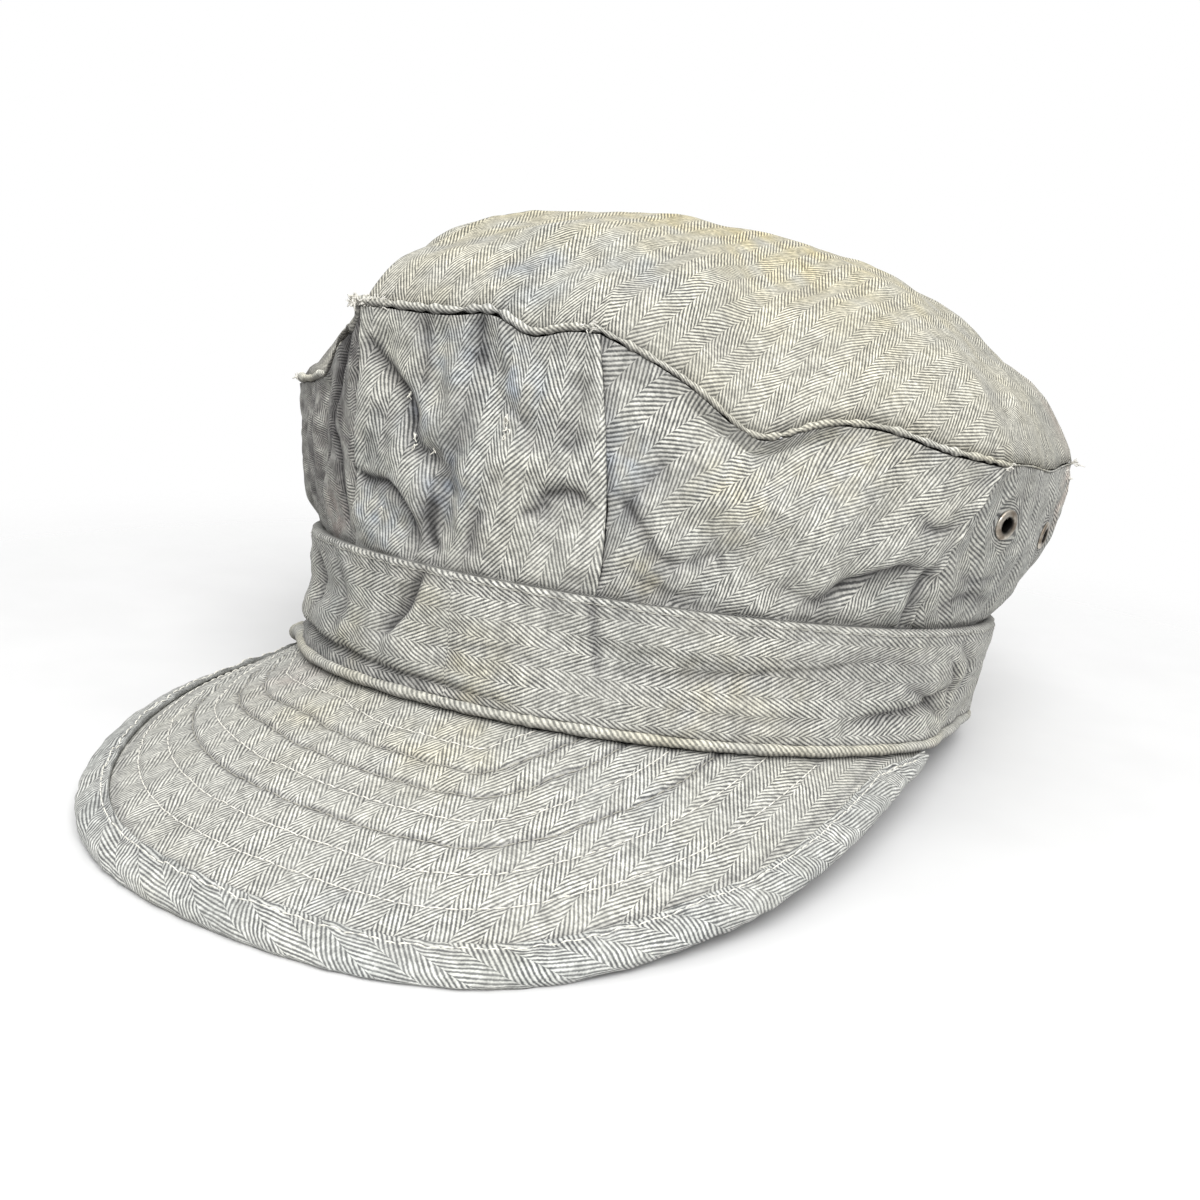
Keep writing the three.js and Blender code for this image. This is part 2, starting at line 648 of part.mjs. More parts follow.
add("crown_top", crownTopGeometry(), cloths.crown);
add("crown_welt", crownWeltGeometry(), cloths.crown);
panels.forEach((panel, index) => {
  let geometry = panelGeometry(index);
  if (panel.name.endsWith("rear_panel")) {
    const side = panel.name.startsWith("left") ? "left" : "right";
    let cloth = toManifold(geometry);
    for (const place of eyeletPlaces) {
      const frame = eyeletFrame(index, place);
      cloth = cloth.subtract(toManifold(eyeletHole(frame)));
      add(`${side}_eyelet_${place.number}`, eyeletGeometry(frame), brass);
    }
    geometry = fromManifold(cloth);
  }
  add(panel.name, geometry, cloths.crown);
});
add("band", bandGeometry(), cloths.band);
add("band_welt", bandWeltGeometry(), cloths.band);
add("peak", peakGeometry(), cloths.peak);
add("peak_binding", peakBindingGeometry(), cloths.peak);

// The origin is under the middle of the whole cap
const middle = new THREE.Box3().setFromObject(cap).getCenter(new THREE.Vector3());
cap.position.set(-middle.x, -middle.y, 0);

export default cap;
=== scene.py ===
from math import atan2, cos, hypot, pi, radians, sin, tan

import bpy
import numpy as np
from mathutils import Matrix, Vector


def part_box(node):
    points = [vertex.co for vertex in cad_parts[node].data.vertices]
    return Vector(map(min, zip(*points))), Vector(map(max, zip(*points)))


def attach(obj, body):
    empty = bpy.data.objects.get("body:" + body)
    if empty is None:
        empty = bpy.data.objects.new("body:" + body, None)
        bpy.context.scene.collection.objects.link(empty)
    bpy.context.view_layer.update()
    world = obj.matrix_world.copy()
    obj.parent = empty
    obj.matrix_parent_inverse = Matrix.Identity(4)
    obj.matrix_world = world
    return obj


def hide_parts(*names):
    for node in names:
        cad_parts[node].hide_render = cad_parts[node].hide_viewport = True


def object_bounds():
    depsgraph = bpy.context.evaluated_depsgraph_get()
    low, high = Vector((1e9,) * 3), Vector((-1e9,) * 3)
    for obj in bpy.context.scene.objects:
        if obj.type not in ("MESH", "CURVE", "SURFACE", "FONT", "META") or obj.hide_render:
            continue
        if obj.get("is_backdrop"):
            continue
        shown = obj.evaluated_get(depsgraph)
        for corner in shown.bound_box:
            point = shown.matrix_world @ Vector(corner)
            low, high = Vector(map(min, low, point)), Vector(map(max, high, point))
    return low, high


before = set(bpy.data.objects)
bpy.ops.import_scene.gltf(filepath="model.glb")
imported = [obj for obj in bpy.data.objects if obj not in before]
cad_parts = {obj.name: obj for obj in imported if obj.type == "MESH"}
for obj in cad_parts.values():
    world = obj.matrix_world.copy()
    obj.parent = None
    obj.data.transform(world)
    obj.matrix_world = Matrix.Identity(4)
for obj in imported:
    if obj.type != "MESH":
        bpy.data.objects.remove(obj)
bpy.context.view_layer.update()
print("frame loaded")

# The cap is worked out in millimetres in the band's frame, as the solids are: the origin is the centre
# of the band's lower edge, the front is at -Y and the wearer's left at +X.
# Angles round the band are in degrees from the front towards the wearer's left.
cloth = {"gap": 0.3, "crown": 1.6, "band": 2.2, "peak": 2.4, "binding": 1.0}
band = {
    "halfWidth": 87.0, "halfLength": 100.3, "flareWidth": 0.9, "flareLength": 1.4, "height": 29.0,
    "skew": 3.5, "weltRadius": 1.9, "weltOutset": 0.6, "tuck": 4.5, "calm": 6.0,
}
crown = {
    "apexY": -8.0, "apexHeight": 115.8, "fullness": 2.6, "softness": 1.35, "lift": 0.5,
    "behindRidge": 0.12, "foldRelease": 0.2, "sagRelease": 0.03, "panelPitch": 0.75,
}
peak = {"slope": 26.8, "flatBack": 0.7, "flatFront": 0.8}
binding = {"width": 8.0, "narrowest": 0.55, "bulge": 0.5, "endAngle": 77.0}

# Corners of the crown from the front one on the wearer's left: x, y, z, angle of the seam's foot,
# how far the seam swells out and how far it leans towards the back
corners = np.array([
    (29, -104, 81.6, 20.3, 0.8, 2),
    (96.5, -40.4, 68, 70, 2, -6),
    (92.5, 48, 72, 121, 4.5, 0),
    (34, 106, 69, 160, 1.5, 0),
    (-34, 106, 69, 200, 1.5, 0),
    (-92.5, 48, 70, 239, 3, 0),
    (-96.5, -40.4, 63.5, 290, 2.8, 4),
    (-29, -104, 81.6, 336, 0.8, 1),
])

# Upright panels round the crown: bow of the top edge, belly of the cloth, columns and rows of its
# surface, how its stripes lean, in degrees from upright towards the wearer's left, how wide they are
# at its two ends, and how light the cloth is
panelFields = ("bow", "belly", "columns", "rows", "lean", "scale", "tone")
plainScale = (0.86, 0.86)
panels = {name: dict(zip(panelFields, facts)) for name, *facts in [
    ("front_panel", 2.0, 1.5, 150, 128, 9.0, (1.08, 1.08), 1.07),
    ("left_side_panel", 4.0, 2.0, 200, 100, 44.0, (1.0, 0.8), 1.0),
    ("left_rear_panel", 2.0, 0.5, 150, 90, -40.0, plainScale, 1.0),
    ("left_back_panel", 3.0, 1.5, 110, 60, 30.0, plainScale, 1.0),
    ("back_panel", 2.0, 1.5, 100, 60, 0.0, plainScale, 1.0),
    ("right_back_panel", 3.0, 1.5, 110, 60, -30.0, plainScale, 1.0),
    ("right_rear_panel", 2.0, 0.5, 150, 80, 40.0, plainScale, 1.0),
    ("right_side_panel", 3.0, 2.0, 180, 90, -44.0, (1.3, 1.3), 1.0),
]}
panelNames = list(panels)

# Waves of the crown's edge, by panel: share across, width as a share, drop
edgeWaves = {
    "front_panel": [(0.58, 0.12, -1.3), (0.76, 0.1, 2.6)],
    "left_side_panel": [(0.366, 0.106, 4.7), (0.306, 0.259, 6.7), (0.839, 0.114, 1.5)],
    "left_rear_panel": [(0.5, 0.2, 1.5)],
    "left_back_panel": [(0.5, 0.18, 2.5)],
    "right_back_panel": [(0.45, 0.18, 3.0)],
    "right_side_panel": [
        (0.3, 0.2, 4.5), (0.62, 0.22, 9.0), (0.76, 0.09, 6.0), (0.9, 0.06, 5.0), (0.97, 0.035, 12.0),
    ],
}

# Large folds of the upright panels: (across, up) to (across, up) as shares, half width and depth
panelFolds = {
    "front_panel": [
        (0.1, 0.85, 0.36, 0.45, 4, 2.6), (0.36, 0.98, 0.38, 0.7, 3.5, 2),
        (0.58, 0.98, 0.6, 0.6, 3.5, 2), (0.04, 0.32, 0.3, 0.05, 4, 2.6),
        (0.45, 0.3, 0.42, 0, 3.5, 2.4), (0.8, 0.35, 0.98, 0.4, 6, 1.6),
    ],
    "left_side_panel": [
        (0.02, 0.6, 0.3, 0.3, 7, 2.5), (0.3, 0.45, 0.5, 0.1, 8, 2.2),
        (0.25, 0.92, 0.5, 0.92, 7, 3), (0.72, 0.18, 0.98, 0.3, 5, 2.4),
    ],
    "left_rear_panel": [(0.08, 0.9, 0.1, 0.2, 4, 1.2), (0.86, 0.98, 0.88, 0.55, 8, -3.2)],
    "left_back_panel": [(0.5, 0.95, 0.45, 0.2, 7, 2)],
    "back_panel": [(0.2, 0.1, 0.8, 0.2, 5, 1.6)],
    "right_back_panel": [(0.45, 0.95, 0.5, 0.2, 7, 2)],
    "right_rear_panel": [],
    "right_side_panel": [
        (0.72, 0.95, 0.7, 0, 5, 3), (0.45, 0.9, 0.5, 0.1, 6, 2.6),
        (0.2, 0.7, 0.3, 0.1, 6, 1.8),
    ],
}

# Sharp creases drawn on those folds: points as (across, up), half width, depth, step (how far the
# cloth on the left of the line stands over the right) and how dark the painted shade in the crease is
panelCreases = {
    "front_panel": [
        ([(0.04, 0.9), (0.08, 0.83), (0.17, 0.75), (0.245, 0.67), (0.3, 0.5), (0.38, 0.45)],
         1.7, 1.2, 0.9, 0.46),
        ([(0.305, 1), (0.313, 0.91), (0.326, 0.8), (0.32, 0.7)], 1.7, 0.9, 0.5, 0.3),
        ([(0.548, 1), (0.548, 0.9), (0.56, 0.8)], 1.4, 0.9, 0.4, 0.36),
        ([(0.55, 0.78), (0.525, 0.66), (0.51, 0.57), (0.456, 0.42), (0.42, 0.24), (0.44, 0.04)],
         3, 1.2, 0.2, 0.24),
        ([(0.02, 0.33), (0.054, 0.31), (0.19, 0.29), (0.3, 0.2), (0.345, 0.06)], 1.5, 1.3, 1, 0.46),
        ([(0.4, 0.27), (0.394, 0.14), (0.42, 0.06)], 1.3, 1.3, 0.6, 0.42),
        ([(0.575, 0.27), (0.564, 0.18), (0.55, 0.06)], 1.7, 1, -0.4, 0.34),
        ([(0.72, 0.28), (0.78, 0.33), (0.8, 0.38), (0.885, 0.405), (0.945, 0.37)], 1.9, 1, 0.8, 0.34),
        ([(0.625, 0.7), (0.72, 0.63), (0.74, 0.52)], 3.2, 0.8, -0.3, 0.14),
        ([(0.85, 0.68), (0.9, 0.6), (0.87, 0.54)], 2.6, 0.9, 0.3, 0.16),
        ([(0.96, 0.84), (0.92, 0.68), (0.95, 0.57)], 2.6, 0.7, 0.2, 0.12),
        ([(0.1, 0.62), (0.16, 0.55), (0.18, 0.42)], 2.8, 0.9, 0.3, 0.16),
    ],
    "left_side_panel": [
        ([(0.16, 0.66), (0.1, 0.5), (0.04, 0.36)], 2.6, 0.8, -0.4, 0.16),
        ([(0.05, 0.41), (0.1, 0.34), (0.16, 0.22), (0.24, 0.23)], 2.4, 1, 0.6, 0.24),
        ([(0.24, 0.24), (0.3, 0.3), (0.34, 0.34)], 2.6, 0.8, 0.4, 0.18),
        ([(0.6, 0.1), (0.7, 0.2), (0.78, 0.28), (0.85, 0.345), (0.93, 0.38)], 2.1, 1.2, 0.7, 0.38),
        ([(0.86, 0.64), (0.9, 0.6), (0.96, 0.64)], 1.6, 0.9, 0.5, 0.3),
        ([(0.955, 0.4), (0.95, 0.2), (0.94, 0.04)], 1.5, 1.1, -0.6, 0.36),
        ([(0.5, 0.2), (0.6, 0.12), (0.68, 0.1)], 2.6, 0.5, 0.2, 0.1),
        ([(0.08, 0.12), (0.2, 0.06), (0.3, 0.08)], 2, 0.6, 0.3, 0.14),
    ],
    "left_rear_panel": [
        ([(0.12, 0.35), (0.2, 0.3), (0.3, 0.34)], 1.8, 0.7, 0.3, 0.2),
        ([(0.1, 0.12), (0.2, 0.2), (0.34, 0.18)], 1.8, 0.8, 0.3, 0.2),
        ([(0.42, 0.9), (0.46, 0.6), (0.44, 0.2)], 2.6, 0.9, 0.2, 0.12),
        ([(0.75, 0.85), (0.8, 0.5), (0.76, 0.1)], 3, 0.9, -0.2, 0.12),
    ],
    "left_back_panel": [
        ([(0.3, 0.9), (0.34, 0.5), (0.3, 0.1)], 2.6, 0.9, 0.3, 0.14),
        ([(0.7, 0.7), (0.62, 0.4), (0.68, 0.1)], 2.2, 0.8, -0.3, 0.14),
    ],
    "back_panel": [
        ([(0.3, 0.8), (0.36, 0.5), (0.28, 0.2)], 2.4, 0.8, 0.3, 0.14),
        ([(0.66, 0.9), (0.7, 0.5), (0.64, 0.1)], 2.4, 0.8, -0.3, 0.14),
    ],
    "right_back_panel": [([(0.3, 0.8), (0.36, 0.4), (0.3, 0.1)], 2.6, 0.9, 0.3, 0.14)],
    "right_rear_panel": [
        ([(0.45, 0.9), (0.4, 0.5), (0.46, 0.1)], 2.6, 1, 0.3, 0.14),
        ([(0.85, 0.8), (0.8, 0.5), (0.84, 0.2)], 2.4, 0.8, -0.3, 0.14),
    ],
    "right_side_panel": [
        ([(0.94, 0.98), (0.89, 0.86), (0.873, 0.73), (0.853, 0.6)], 2.4, 1.4, 1, 0.6),
        ([(0.862, 0.58), (0.905, 0.42), (0.934, 0.23), (0.965, 0.08)], 2.2, 1.3, 0.8, 0.5),
        ([(0.83, 0.5), (0.76, 0.36), (0.68, 0.28), (0.72, 0.12)], 2.2, 0.9, 0.5, 0.3),
        ([(0.6, 0.9), (0.62, 0.5), (0.58, 0.1)], 2.4, 0.9, 0.3, 0.2),
        ([(0.32, 0.8), (0.36, 0.4), (0.3, 0.1)], 2.6, 0.9, 0.3, 0.14),
    ],
}

# Folds of the band: (angle, height) to (angle, height), half width and depth
bandFolds = [
    (-9, 29, -13, 8, 3.5, 1.8), (16, 27, 18, 12, 3.5, 1.2),
    (22, 17, 62, 15, 4.5, 1.2), (60, 6, 88, 12, 4, 1.6),
    (-26, 18, -42, 15, 5, 1), (150, 10, 200, 14, 5, 1.2),
    (-48, 11, -6, 9.5, 3.6, -1.1), (-80, 7, -54, 7, 3, 1.4),
    (90, 2, 102, 0, 12, 3.6),
]

# Sharp creases of the band: points as (angle, height), half width, depth, step and darkness of its painted
# shade
bandCreases = [
    ([(-5, 28.6), (-7.2, 21), (-10.5, 15), (-13, 12)], 1.5, 1.3, 0.8, 0.6),
    ([(-62, 7.6), (-45, 7), (-21, 6), (-8, 5.4), (8, 4.8)], 1.5, 0.8, 1.1, 0.28),
    ([(-37, 25), (-34.5, 20), (-36, 13)], 1.6, 0.9, 0.5, 0.45),
    ([(19.8, 28.6), (20.5, 24.4), (21.2, 18), (22, 12)], 1, 0.8, -0.4, 0.3),
    ([(22, 15), (36, 16), (50, 19), (64, 22), (76, 20)], 3, 0.8, 0.4, 0.18),
    ([(62, 8), (70, 9.4), (76, 11.2), (84, 14.5)], 1.6, 1.2, 0.8, 0.36),
    ([(70, 15), (78, 11), (85, 6.5)], 1.4, 1, -0.5, 0.3),
    ([(81, 22), (86, 15), (88, 7)], 1.4, 1, 0.6, 0.32),
    ([(84, 26), (88, 22), (92, 16), (93, 8)], 1.7, 0.9, 0.4, 0.2),
    ([(-26, 25), (-23, 17), (-25, 8)], 2.6, 0.9, 0.3, 0.16),
    ([(30, 9), (44, 7.6), (56, 8.4)], 2, 0.5, 0.2, 0.08),
    ([(2, 14), (8, 15.5), (15, 14)], 2.4, 0.4, 0.2, 0.08),
    ([(-48, 22), (-56, 15), (-60, 7)], 2.4, 0.9, -0.3, 0.16),
    ([(120, 24), (126, 16), (124, 8)], 2.4, 0.8, 0.3, 0.12),
    ([(176, 27), (181, 17), (178, 7)], 2, 0.8, 0.3, 0.14),
    ([(230, 24), (222, 15), (226, 8)], 2.4, 0.8, 0.3, 0.12),
]

# Ridges and hollows of the top cloth in plan: from x, y to x, y, half width and height
topFolds = [
    (84, -34, 68, 30, 12, -1), (-28, -104, -25, -88, 10, -1.1),
    (-33, -85, -30, -64, 8.5, 3.1), (-50, -84, -64, -68, 9, -1),
    (88, 16, 74, -18, 14, -1.3), (62, -32, 36, -40, 14, -1.6),
    (-28, -80, -22, -40, 12, -0.4), (-8, -74, -4, -46, 12, -1),
    (26, -104, 20, -60, 9, -2.5), (52, -78, 44, -50, 13, -3),
    (-80, -40, -60, 30, 12, 1), (40, 60, 10, 92, 12, -2.5),
]

# The top sags close behind its edge over the wearer's right: from x, y to x, y, half width, depth
topSag = (-86, -42, -60, -76, 14, 4)

# Soft creases of the top cloth: points in plan, half width, depth, step and darkness of its painted
# shade, which is a paler painted highlight where negative
topCreases = [
    ([(26, -100), (28, -88), (25, -62)], 3.2, 0.7, 0.2, 0.1),
    ([(-2, -98), (5, -96), (12, -100)], 3.4, 0.6, 0, 0.12),
    ([(94, -30), (89, -16), (81, 2), (76, 16)], 2.4, -0.8, 0, -0.1),
    ([(60, -70), (50, -52), (44, -34)], 4, 0.5, 0, 0.05),
    ([(-60, -60), (-48, -30), (-50, 10)], 4, 0.6, 0.2, 0.08),
    ([(30, 70), (10, 60), (-16, 66)], 4, 0.7, 0.3, 0.08),
    ([(-70, 50), (-52, 44), (-40, 28)], 3.6, 0.6, 0.2, 0.08),
]

# How far the peak reaches from the band: angle and reach
peakReaches = np.array([
    (-78, 3.4), (-66, 11.4), (-52, 25.6), (-36, 50.2), (-18, 68.5), (0, 72.8),
    (18, 70.9), (36, 49.4), (52, 26.8), (66, 11.4), (78, 3.4),
])


def lerp(a, b, t):
    return a + (b - a) * t


# A soft bump, 1 on its middle line and nearly 0 at twice the half width
def bell(distance, half):
    return np.exp(-((distance / half) ** 2))


# 0 below low, 1 above high and smooth between them
def ease(value, low, high):
    t = np.clip((value - low) / (high - low), 0, 1)
    return t * t * (3 - 2 * t)


def unit(vectors):
    return vectors / np.maximum(np.linalg.norm(vectors, axis=-1, keepdims=True), 1e-9)


def pointsOf(x, y, z):
    return np.stack(np.broadcast_arrays(x, y, z), axis=-1).astype(float)


# Distance from the first place of a path, or of each row of a grid: its steps added up
def runOf(points):
    steps = np.linalg.norm(np.diff(points, axis=-2), axis=-1)
    return np.concatenate([np.zeros(steps.shape[:-1] + (1,)), np.cumsum(steps, axis=-1)], axis=-1)


# Directions round a circle: cosine times the one axis and sine times the other
def roundCircle(turn, side, up):
    return np.cos(turn)[..., None] * side + np.sin(turn)[..., None] * up


# Places of a weave, turned by an angle
def turnedWeave(x, y, degrees):
    angle = radians(degrees)
    return np.stack([x * cos(angle) - y * sin(angle), x * sin(angle) + y * cos(angle)], axis=-1)


# A field of about -1 to 1 that waves smoothly in every direction: a sum of plane waves whose
# lengths lie round the given one
def ripples(points, wavelength, seed, waves=14):
    random = np.random.default_rng(int(seed) + 1000)
    directions = unit(random.normal(size=(waves, 3)))
    pitch = 2 * pi / (wavelength * random.uniform(0.65, 1.5, waves))
    turns = random.uniform(0, 2 * pi, waves)
    field = np.zeros(points.shape[:-1])
    for direction, rate, turn in zip(directions, pitch, turns):
        field += np.sin(points @ (direction * rate) + turn)
    return field * (1.4 / waves ** 0.5)


# A smooth curve through a few points: cubic spans whose slopes come from each point's neighbours
def curveThrough(points, perSpan=6):
    points = np.asarray(points, float)
    slopes = np.gradient(points, axis=0)
    t = np.linspace(0, 1, perSpan, endpoint=False)[:, None]
    spans = []
    for a, b, slopeA, slopeB in zip(points[:-1], points[1:], slopes[:-1], slopes[1:]):
        spans.append(
            (2 * t**3 - 3 * t**2 + 1) * a + (t**3 - 2 * t**2 + t) * slopeA
            + (3 * t**2 - 2 * t**3) * b + (t**3 - t**2) * slopeB
        )
    return np.concatenate(spans + [points[-1:]])


# Distance of the points (x, y) from a path, which is positive on the path's left, and how far
# along the path its nearest place lies, from 0 to 1
def fromPath(x, y, path):
    best = np.full(np.shape(x), 1e9)
    signed = np.zeros(np.shape(x))
    along = np.zeros(np.shape(x))
    count = len(path) - 1
    for i in range(count):
        (x0, y0), (x1, y1) = path[i], path[i + 1]
        dx, dy = x1 - x0, y1 - y0
        t = np.clip(((x - x0) * dx + (y - y0) * dy) / (dx * dx + dy * dy), 0, 1)
        offX, offY = x - x0 - t * dx, y - y0 - t * dy
        away = np.hypot(offX, offY)
        closer = away < best
        best = np.where(closer, away, best)
        signed = np.where(closer, away * np.sign(dx * offY - dy * offX), signed)
        along = np.where(closer, (i + t) / count, along)
    return signed, along


# Depth of one straight fold: a soft bump along the line between its two places
def foldDepth(x, y, fold, stretchX=1.0, stretchY=1.0):
    x0, y0, x1, y1, half, depth = fold
    line = [(x0 * stretchX, y0 * stretchY), (x1 * stretchX, y1 * stretchY)]
    return depth * bell(fromPath(x, y, line)[0], half)


# Height and painted shade of a list of creases: each is a hollow along its line, with the cloth on one
# side standing over the other next to it, painted shade that darkens the hollow and reaches further
# on its low side, and it fades towards its ends
def creased(x, y, creases, stretchX=1.0, stretchY=1.0):
    height = np.zeros(np.shape(x))
    dark = np.zeros(np.shape(x))
    for points, half, depth, step, shade in creases:
        path = curveThrough(points) * (stretchX, stretchY)
        signed, along = fromPath(x, y, path)
        fade = ease(along, -0.12, 0.2) * ease(1 - along, -0.12, 0.2)
        away = np.abs(signed)
        height -= depth * bell(away, half) * fade
        height += step * np.tanh(signed / 0.6) * np.exp(-away / (2.2 * half)) * fade
        # painted shade: the hollow is drawn darker, and wider on the crease's low side
        lowSide = away * np.where(signed * step < 0, 0.5, 1.25)
        dark += shade * bell(lowSide, half) * fade
    return height, dark


# Angles brought to between -180 and 180
def wrapped(degrees):
    return (degrees + 180) % 360 - 180


# The band is an oval wall: its half axes grow evenly with height, and it is turned a little
bandSkew = radians(band["skew"])
mmPerDegree = pi * (band["halfWidth"] + band["halfLength"]) / 360


def skewed(x, y, z):
    return pointsOf(x * cos(bandSkew) - y * sin(bandSkew), x * sin(bandSkew) + y * cos(bandSkew), z)


# Unit direction out of the oval: its sine and cosine terms over the half axes
def ovalNormal(degrees):
    turn = np.radians(degrees) - bandSkew
    return unit(skewed(np.sin(turn) / band["halfWidth"], -np.cos(turn) / band["halfLength"], 0))


# A point of the wall: half axes times sine and cosine of the angle, moved in by the inset
def ovalPoint(degrees, height, inset=0.0):
    degrees, height, inset = np.broadcast_arrays(degrees, height, inset)
    turn = np.radians(degrees) - bandSkew
    share = height / band["height"]
    x = (band["halfWidth"] + band["flareWidth"] * share) * np.sin(turn)
    y = -(band["halfLength"] + band["flareLength"] * share) * np.cos(turn)
    return skewed(x, y, height) - inset[..., None] * ovalNormal(degrees)


# How far the band's large folds push its cloth in
def bandDent(degrees, height):
    dent = np.zeros(np.shape(degrees))
    calm = np.clip((band["height"] - band["tuck"] - height) / band["calm"], 0, 1)
    for fold in bandFolds:
        middle = (fold[0] + fold[2]) / 2
        nearby = wrapped(degrees - middle) + middle
        pushed = foldDepth(nearby * mmPerDegree, height, fold, mmPerDegree)
        dent += np.where(pushed > 0, pushed * calm, pushed)
    return dent


# The two corners that a panel runs between, with their angles in rising order
def panelEnds(name):
    index = panelNames.index(name)
    start = corners[index - 1].copy()
    if index == 0:
        start[3] -= 360
    return start, corners[index]


# Length of a panel's edge in plan and its mean height over the band
def panelSize(name):
    start, end = panelEnds(name)
    return hypot(end[0] - start[0], end[1] - start[1]), (start[2] + end[2]) / 2 - band["height"]


# Rises from 0 at a panel's two seams to 1 at its middle
def endless(across):
    return np.sin(pi * np.clip(across, 0, 1)) ** 0.5


# The crown's edge between two corners: a straight line, bowed out by a parabola and let down by waves
def edgePoint(name, across):
    start, end = panelEnds(name)
    chord = end[:2] - start[:2]
    out = np.array([chord[1], -chord[0]]) / hypot(*chord)
    bow = panels[name]["bow"] * 4 * across * (1 - across)
    z = lerp(start[2], end[2], across)
    for at, width, drop in edgeWaves.get(name, []):
        z = z - drop * bell(across - at, width) * endless(across)
    x = lerp(start[0], end[0], across) + out[0] * bow
    y = lerp(start[1], end[1], across) + out[1] * bow
    return pointsOf(x, y, z)


# The level direction out of the crown's edge, and its length over its level length
def edgeFrame(name, across):
    step = edgePoint(name, np.minimum(1, across + 0.01)) - edgePoint(name, np.maximum(0, across - 0.01))
    level = np.hypot(step[..., 0], step[..., 1])
    return pointsOf(step[..., 1] / level, -step[..., 0] / level, 0), np.hypot(level, step[..., 2]) / level


# Radius of the ridge along the crown's edge and the slit under it, by panel and share across: the
# ridge is thin and lumpy in front, firm along the wearer's left and worn flat behind that. Panels
# that aren't named have a plain ridge and slit.
plainRidge = {"radius": 0.85, "slit": 0.3}
weltSizes = {
    "front_panel": [(0, 0.95), (0.2, 0.8), (1, 0.7)],
    "left_side_panel": [(0, 0.62), (0.3, 0.58), (0.42, 0.66), (1, 0.6)],
    "left_rear_panel": [(0, 0.55), (0.07, 0.22), (1, 0.18)],
    "left_back_panel": [(0, 0.18), (0.15, 0.85), (1, 0.85)],
    "right_side_panel": [(0, 0.85), (0.68, 0.75), (0.75, 0.4), (0.93, 0.45), (1, 0.9)],
}
weltSlits = {
    "front_panel": [(0, 0.0), (0.12, 0.04), (0.28, 0.3), (1, 0.2)],
    "left_side_panel": [
        (0, 0.12), (0.3, 0.1), (0.32, -0.5), (0.35, -0.5), (0.37, 0.1), (0.95, 0.4), (1, 0.2),
    ],
    "left_rear_panel": [(0, 0.2), (0.09, 0.02), (1, 0.02)],
    "left_back_panel": [(0, 0.02), (0.15, 0.3), (1, 0.3)],
    "right_side_panel": [(0, 0.1), (0.7, 0.1), (0.78, 0.3), (0.9, 0.5), (1, 0.1)],
}


# A value of such a table, by straight steps between its places
def alongEdge(table, name, across, plain):
    places, values = zip(*table.get(name, [(0, plain)]))
    return np.interp(across, places, values)


def weltSize(name, across):
    return alongEdge(weltSizes, name, across, plainRidge["radius"])


# How far under the ridge's middle line the upright cloth ends
def weltDrop(name, across):
    return weltSize(name, across) + alongEdge(weltSlits, name, across, plainRidge["slit"])


# How far a panel's large folds push its cloth in: their bumps added up, and nothing at its seams
def panelDent(name, across, up):
    width, tall = panelSize(name)
    dent = np.zeros(np.shape(across))
    for fold in panelFolds[name]:
        dent += foldDepth(across * width, up * tall, fold, width, tall)
    return dent * endless(across)


# Outer face of an upright panel: up runs from 0 at the band's top edge to 1 under the crown's edge,
# and below 0 down inside the band. Straight lines from foot to edge swell out by a sine arch, less
# the folds.
def panelPoint(name, across, up, inset=0.0):
    across, up = np.broadcast_arrays(np.asarray(across, float), np.asarray(up, float))
    start, end = panelEnds(name)
    degrees = lerp(start[3], end[3], across)
    behind = cloth["band"] + cloth["gap"]
    normal = ovalNormal(degrees)
    tucked = ovalPoint(degrees, band["height"] + np.minimum(up, 0) * band["tuck"], behind + inset)
    foot = ovalPoint(degrees, band["height"] + cloth["gap"], behind)
    top = edgePoint(name, across)
    top[..., 2] -= weltDrop(name, across) * edgeFrame(name, across)[1]
    share = np.maximum(up, 0)
    arch = np.sin(pi * share ** crown["panelPitch"])
    swell = lerp(start[4], end[4], across) + panels[name]["belly"] * endless(across)
    release = np.minimum(1, share / 0.15) * np.minimum(1, (1 - share) / 0.08)
    dent = panelDent(name, across, share) * release
    aside = pointsOf(-normal[..., 1], normal[..., 0], 0) * (lerp(start[5], end[5], across) * arch)[..., None]
    free = lerp(foot, top, share[..., None]) + aside + (swell * arch - dent - inset)[..., None] * normal
    return np.where((up < 0)[..., None], tucked, free)


# Places along the crown's edge, about a given distance apart: points, outward directions, stretches
# and the ridge's radius
def edgeStations(spacing):
    points, outs, stretches, sizes = [], [], [], []
    before = edgeFrame(panelNames[-1], np.array([1.0]))[0][0]
    for name in panelNames:
        count = int(round(panelSize(name)[0] / spacing))
        across = np.arange(count) / count
        out, stretch = edgeFrame(name, across)
        after = edgeFrame(name, np.array([1.0]))[0][0]
        middle = unit(out[0] + before)
        out[0] = middle / middle.dot(out[0])
        before = after
        points.append(edgePoint(name, across))
        outs.append(out)
        stretches.append(stretch)
        sizes.append(weltSize(name, across))
    return np.concatenate(points), np.concatenate(outs), np.concatenate(stretches), np.concatenate(sizes)


# Outer face of the top: share runs from 0 at the apex to 1 behind the ridge, and the height rises
# between them as (1 - share^fullness)^(1 / softness)
def topPoint(point, out, share, size):
    edge = point - out * (size + crown["behindRidge"])[..., None] + (0, 0, crown["lift"])
    apex = np.array([0, crown["apexY"], crown["apexHeight"]])
    place = lerp(apex, edge, share[..., None])
    rise = (1 - share ** crown["fullness"]) ** (1 / crown["softness"])
    place[..., 2] = lerp(edge[..., 2], crown["apexHeight"], rise)
    x, y = place[..., 0], place[..., 1]
    for fold in topFolds:
        place[..., 2] += foldDepth(x, y, fold) * np.minimum(1, (1 - share) / crown["foldRelease"])
    place[..., 2] -= foldDepth(x, y, topSag) * np.minimum(1, (1 - share) / crown["sagRelease"])
    return place


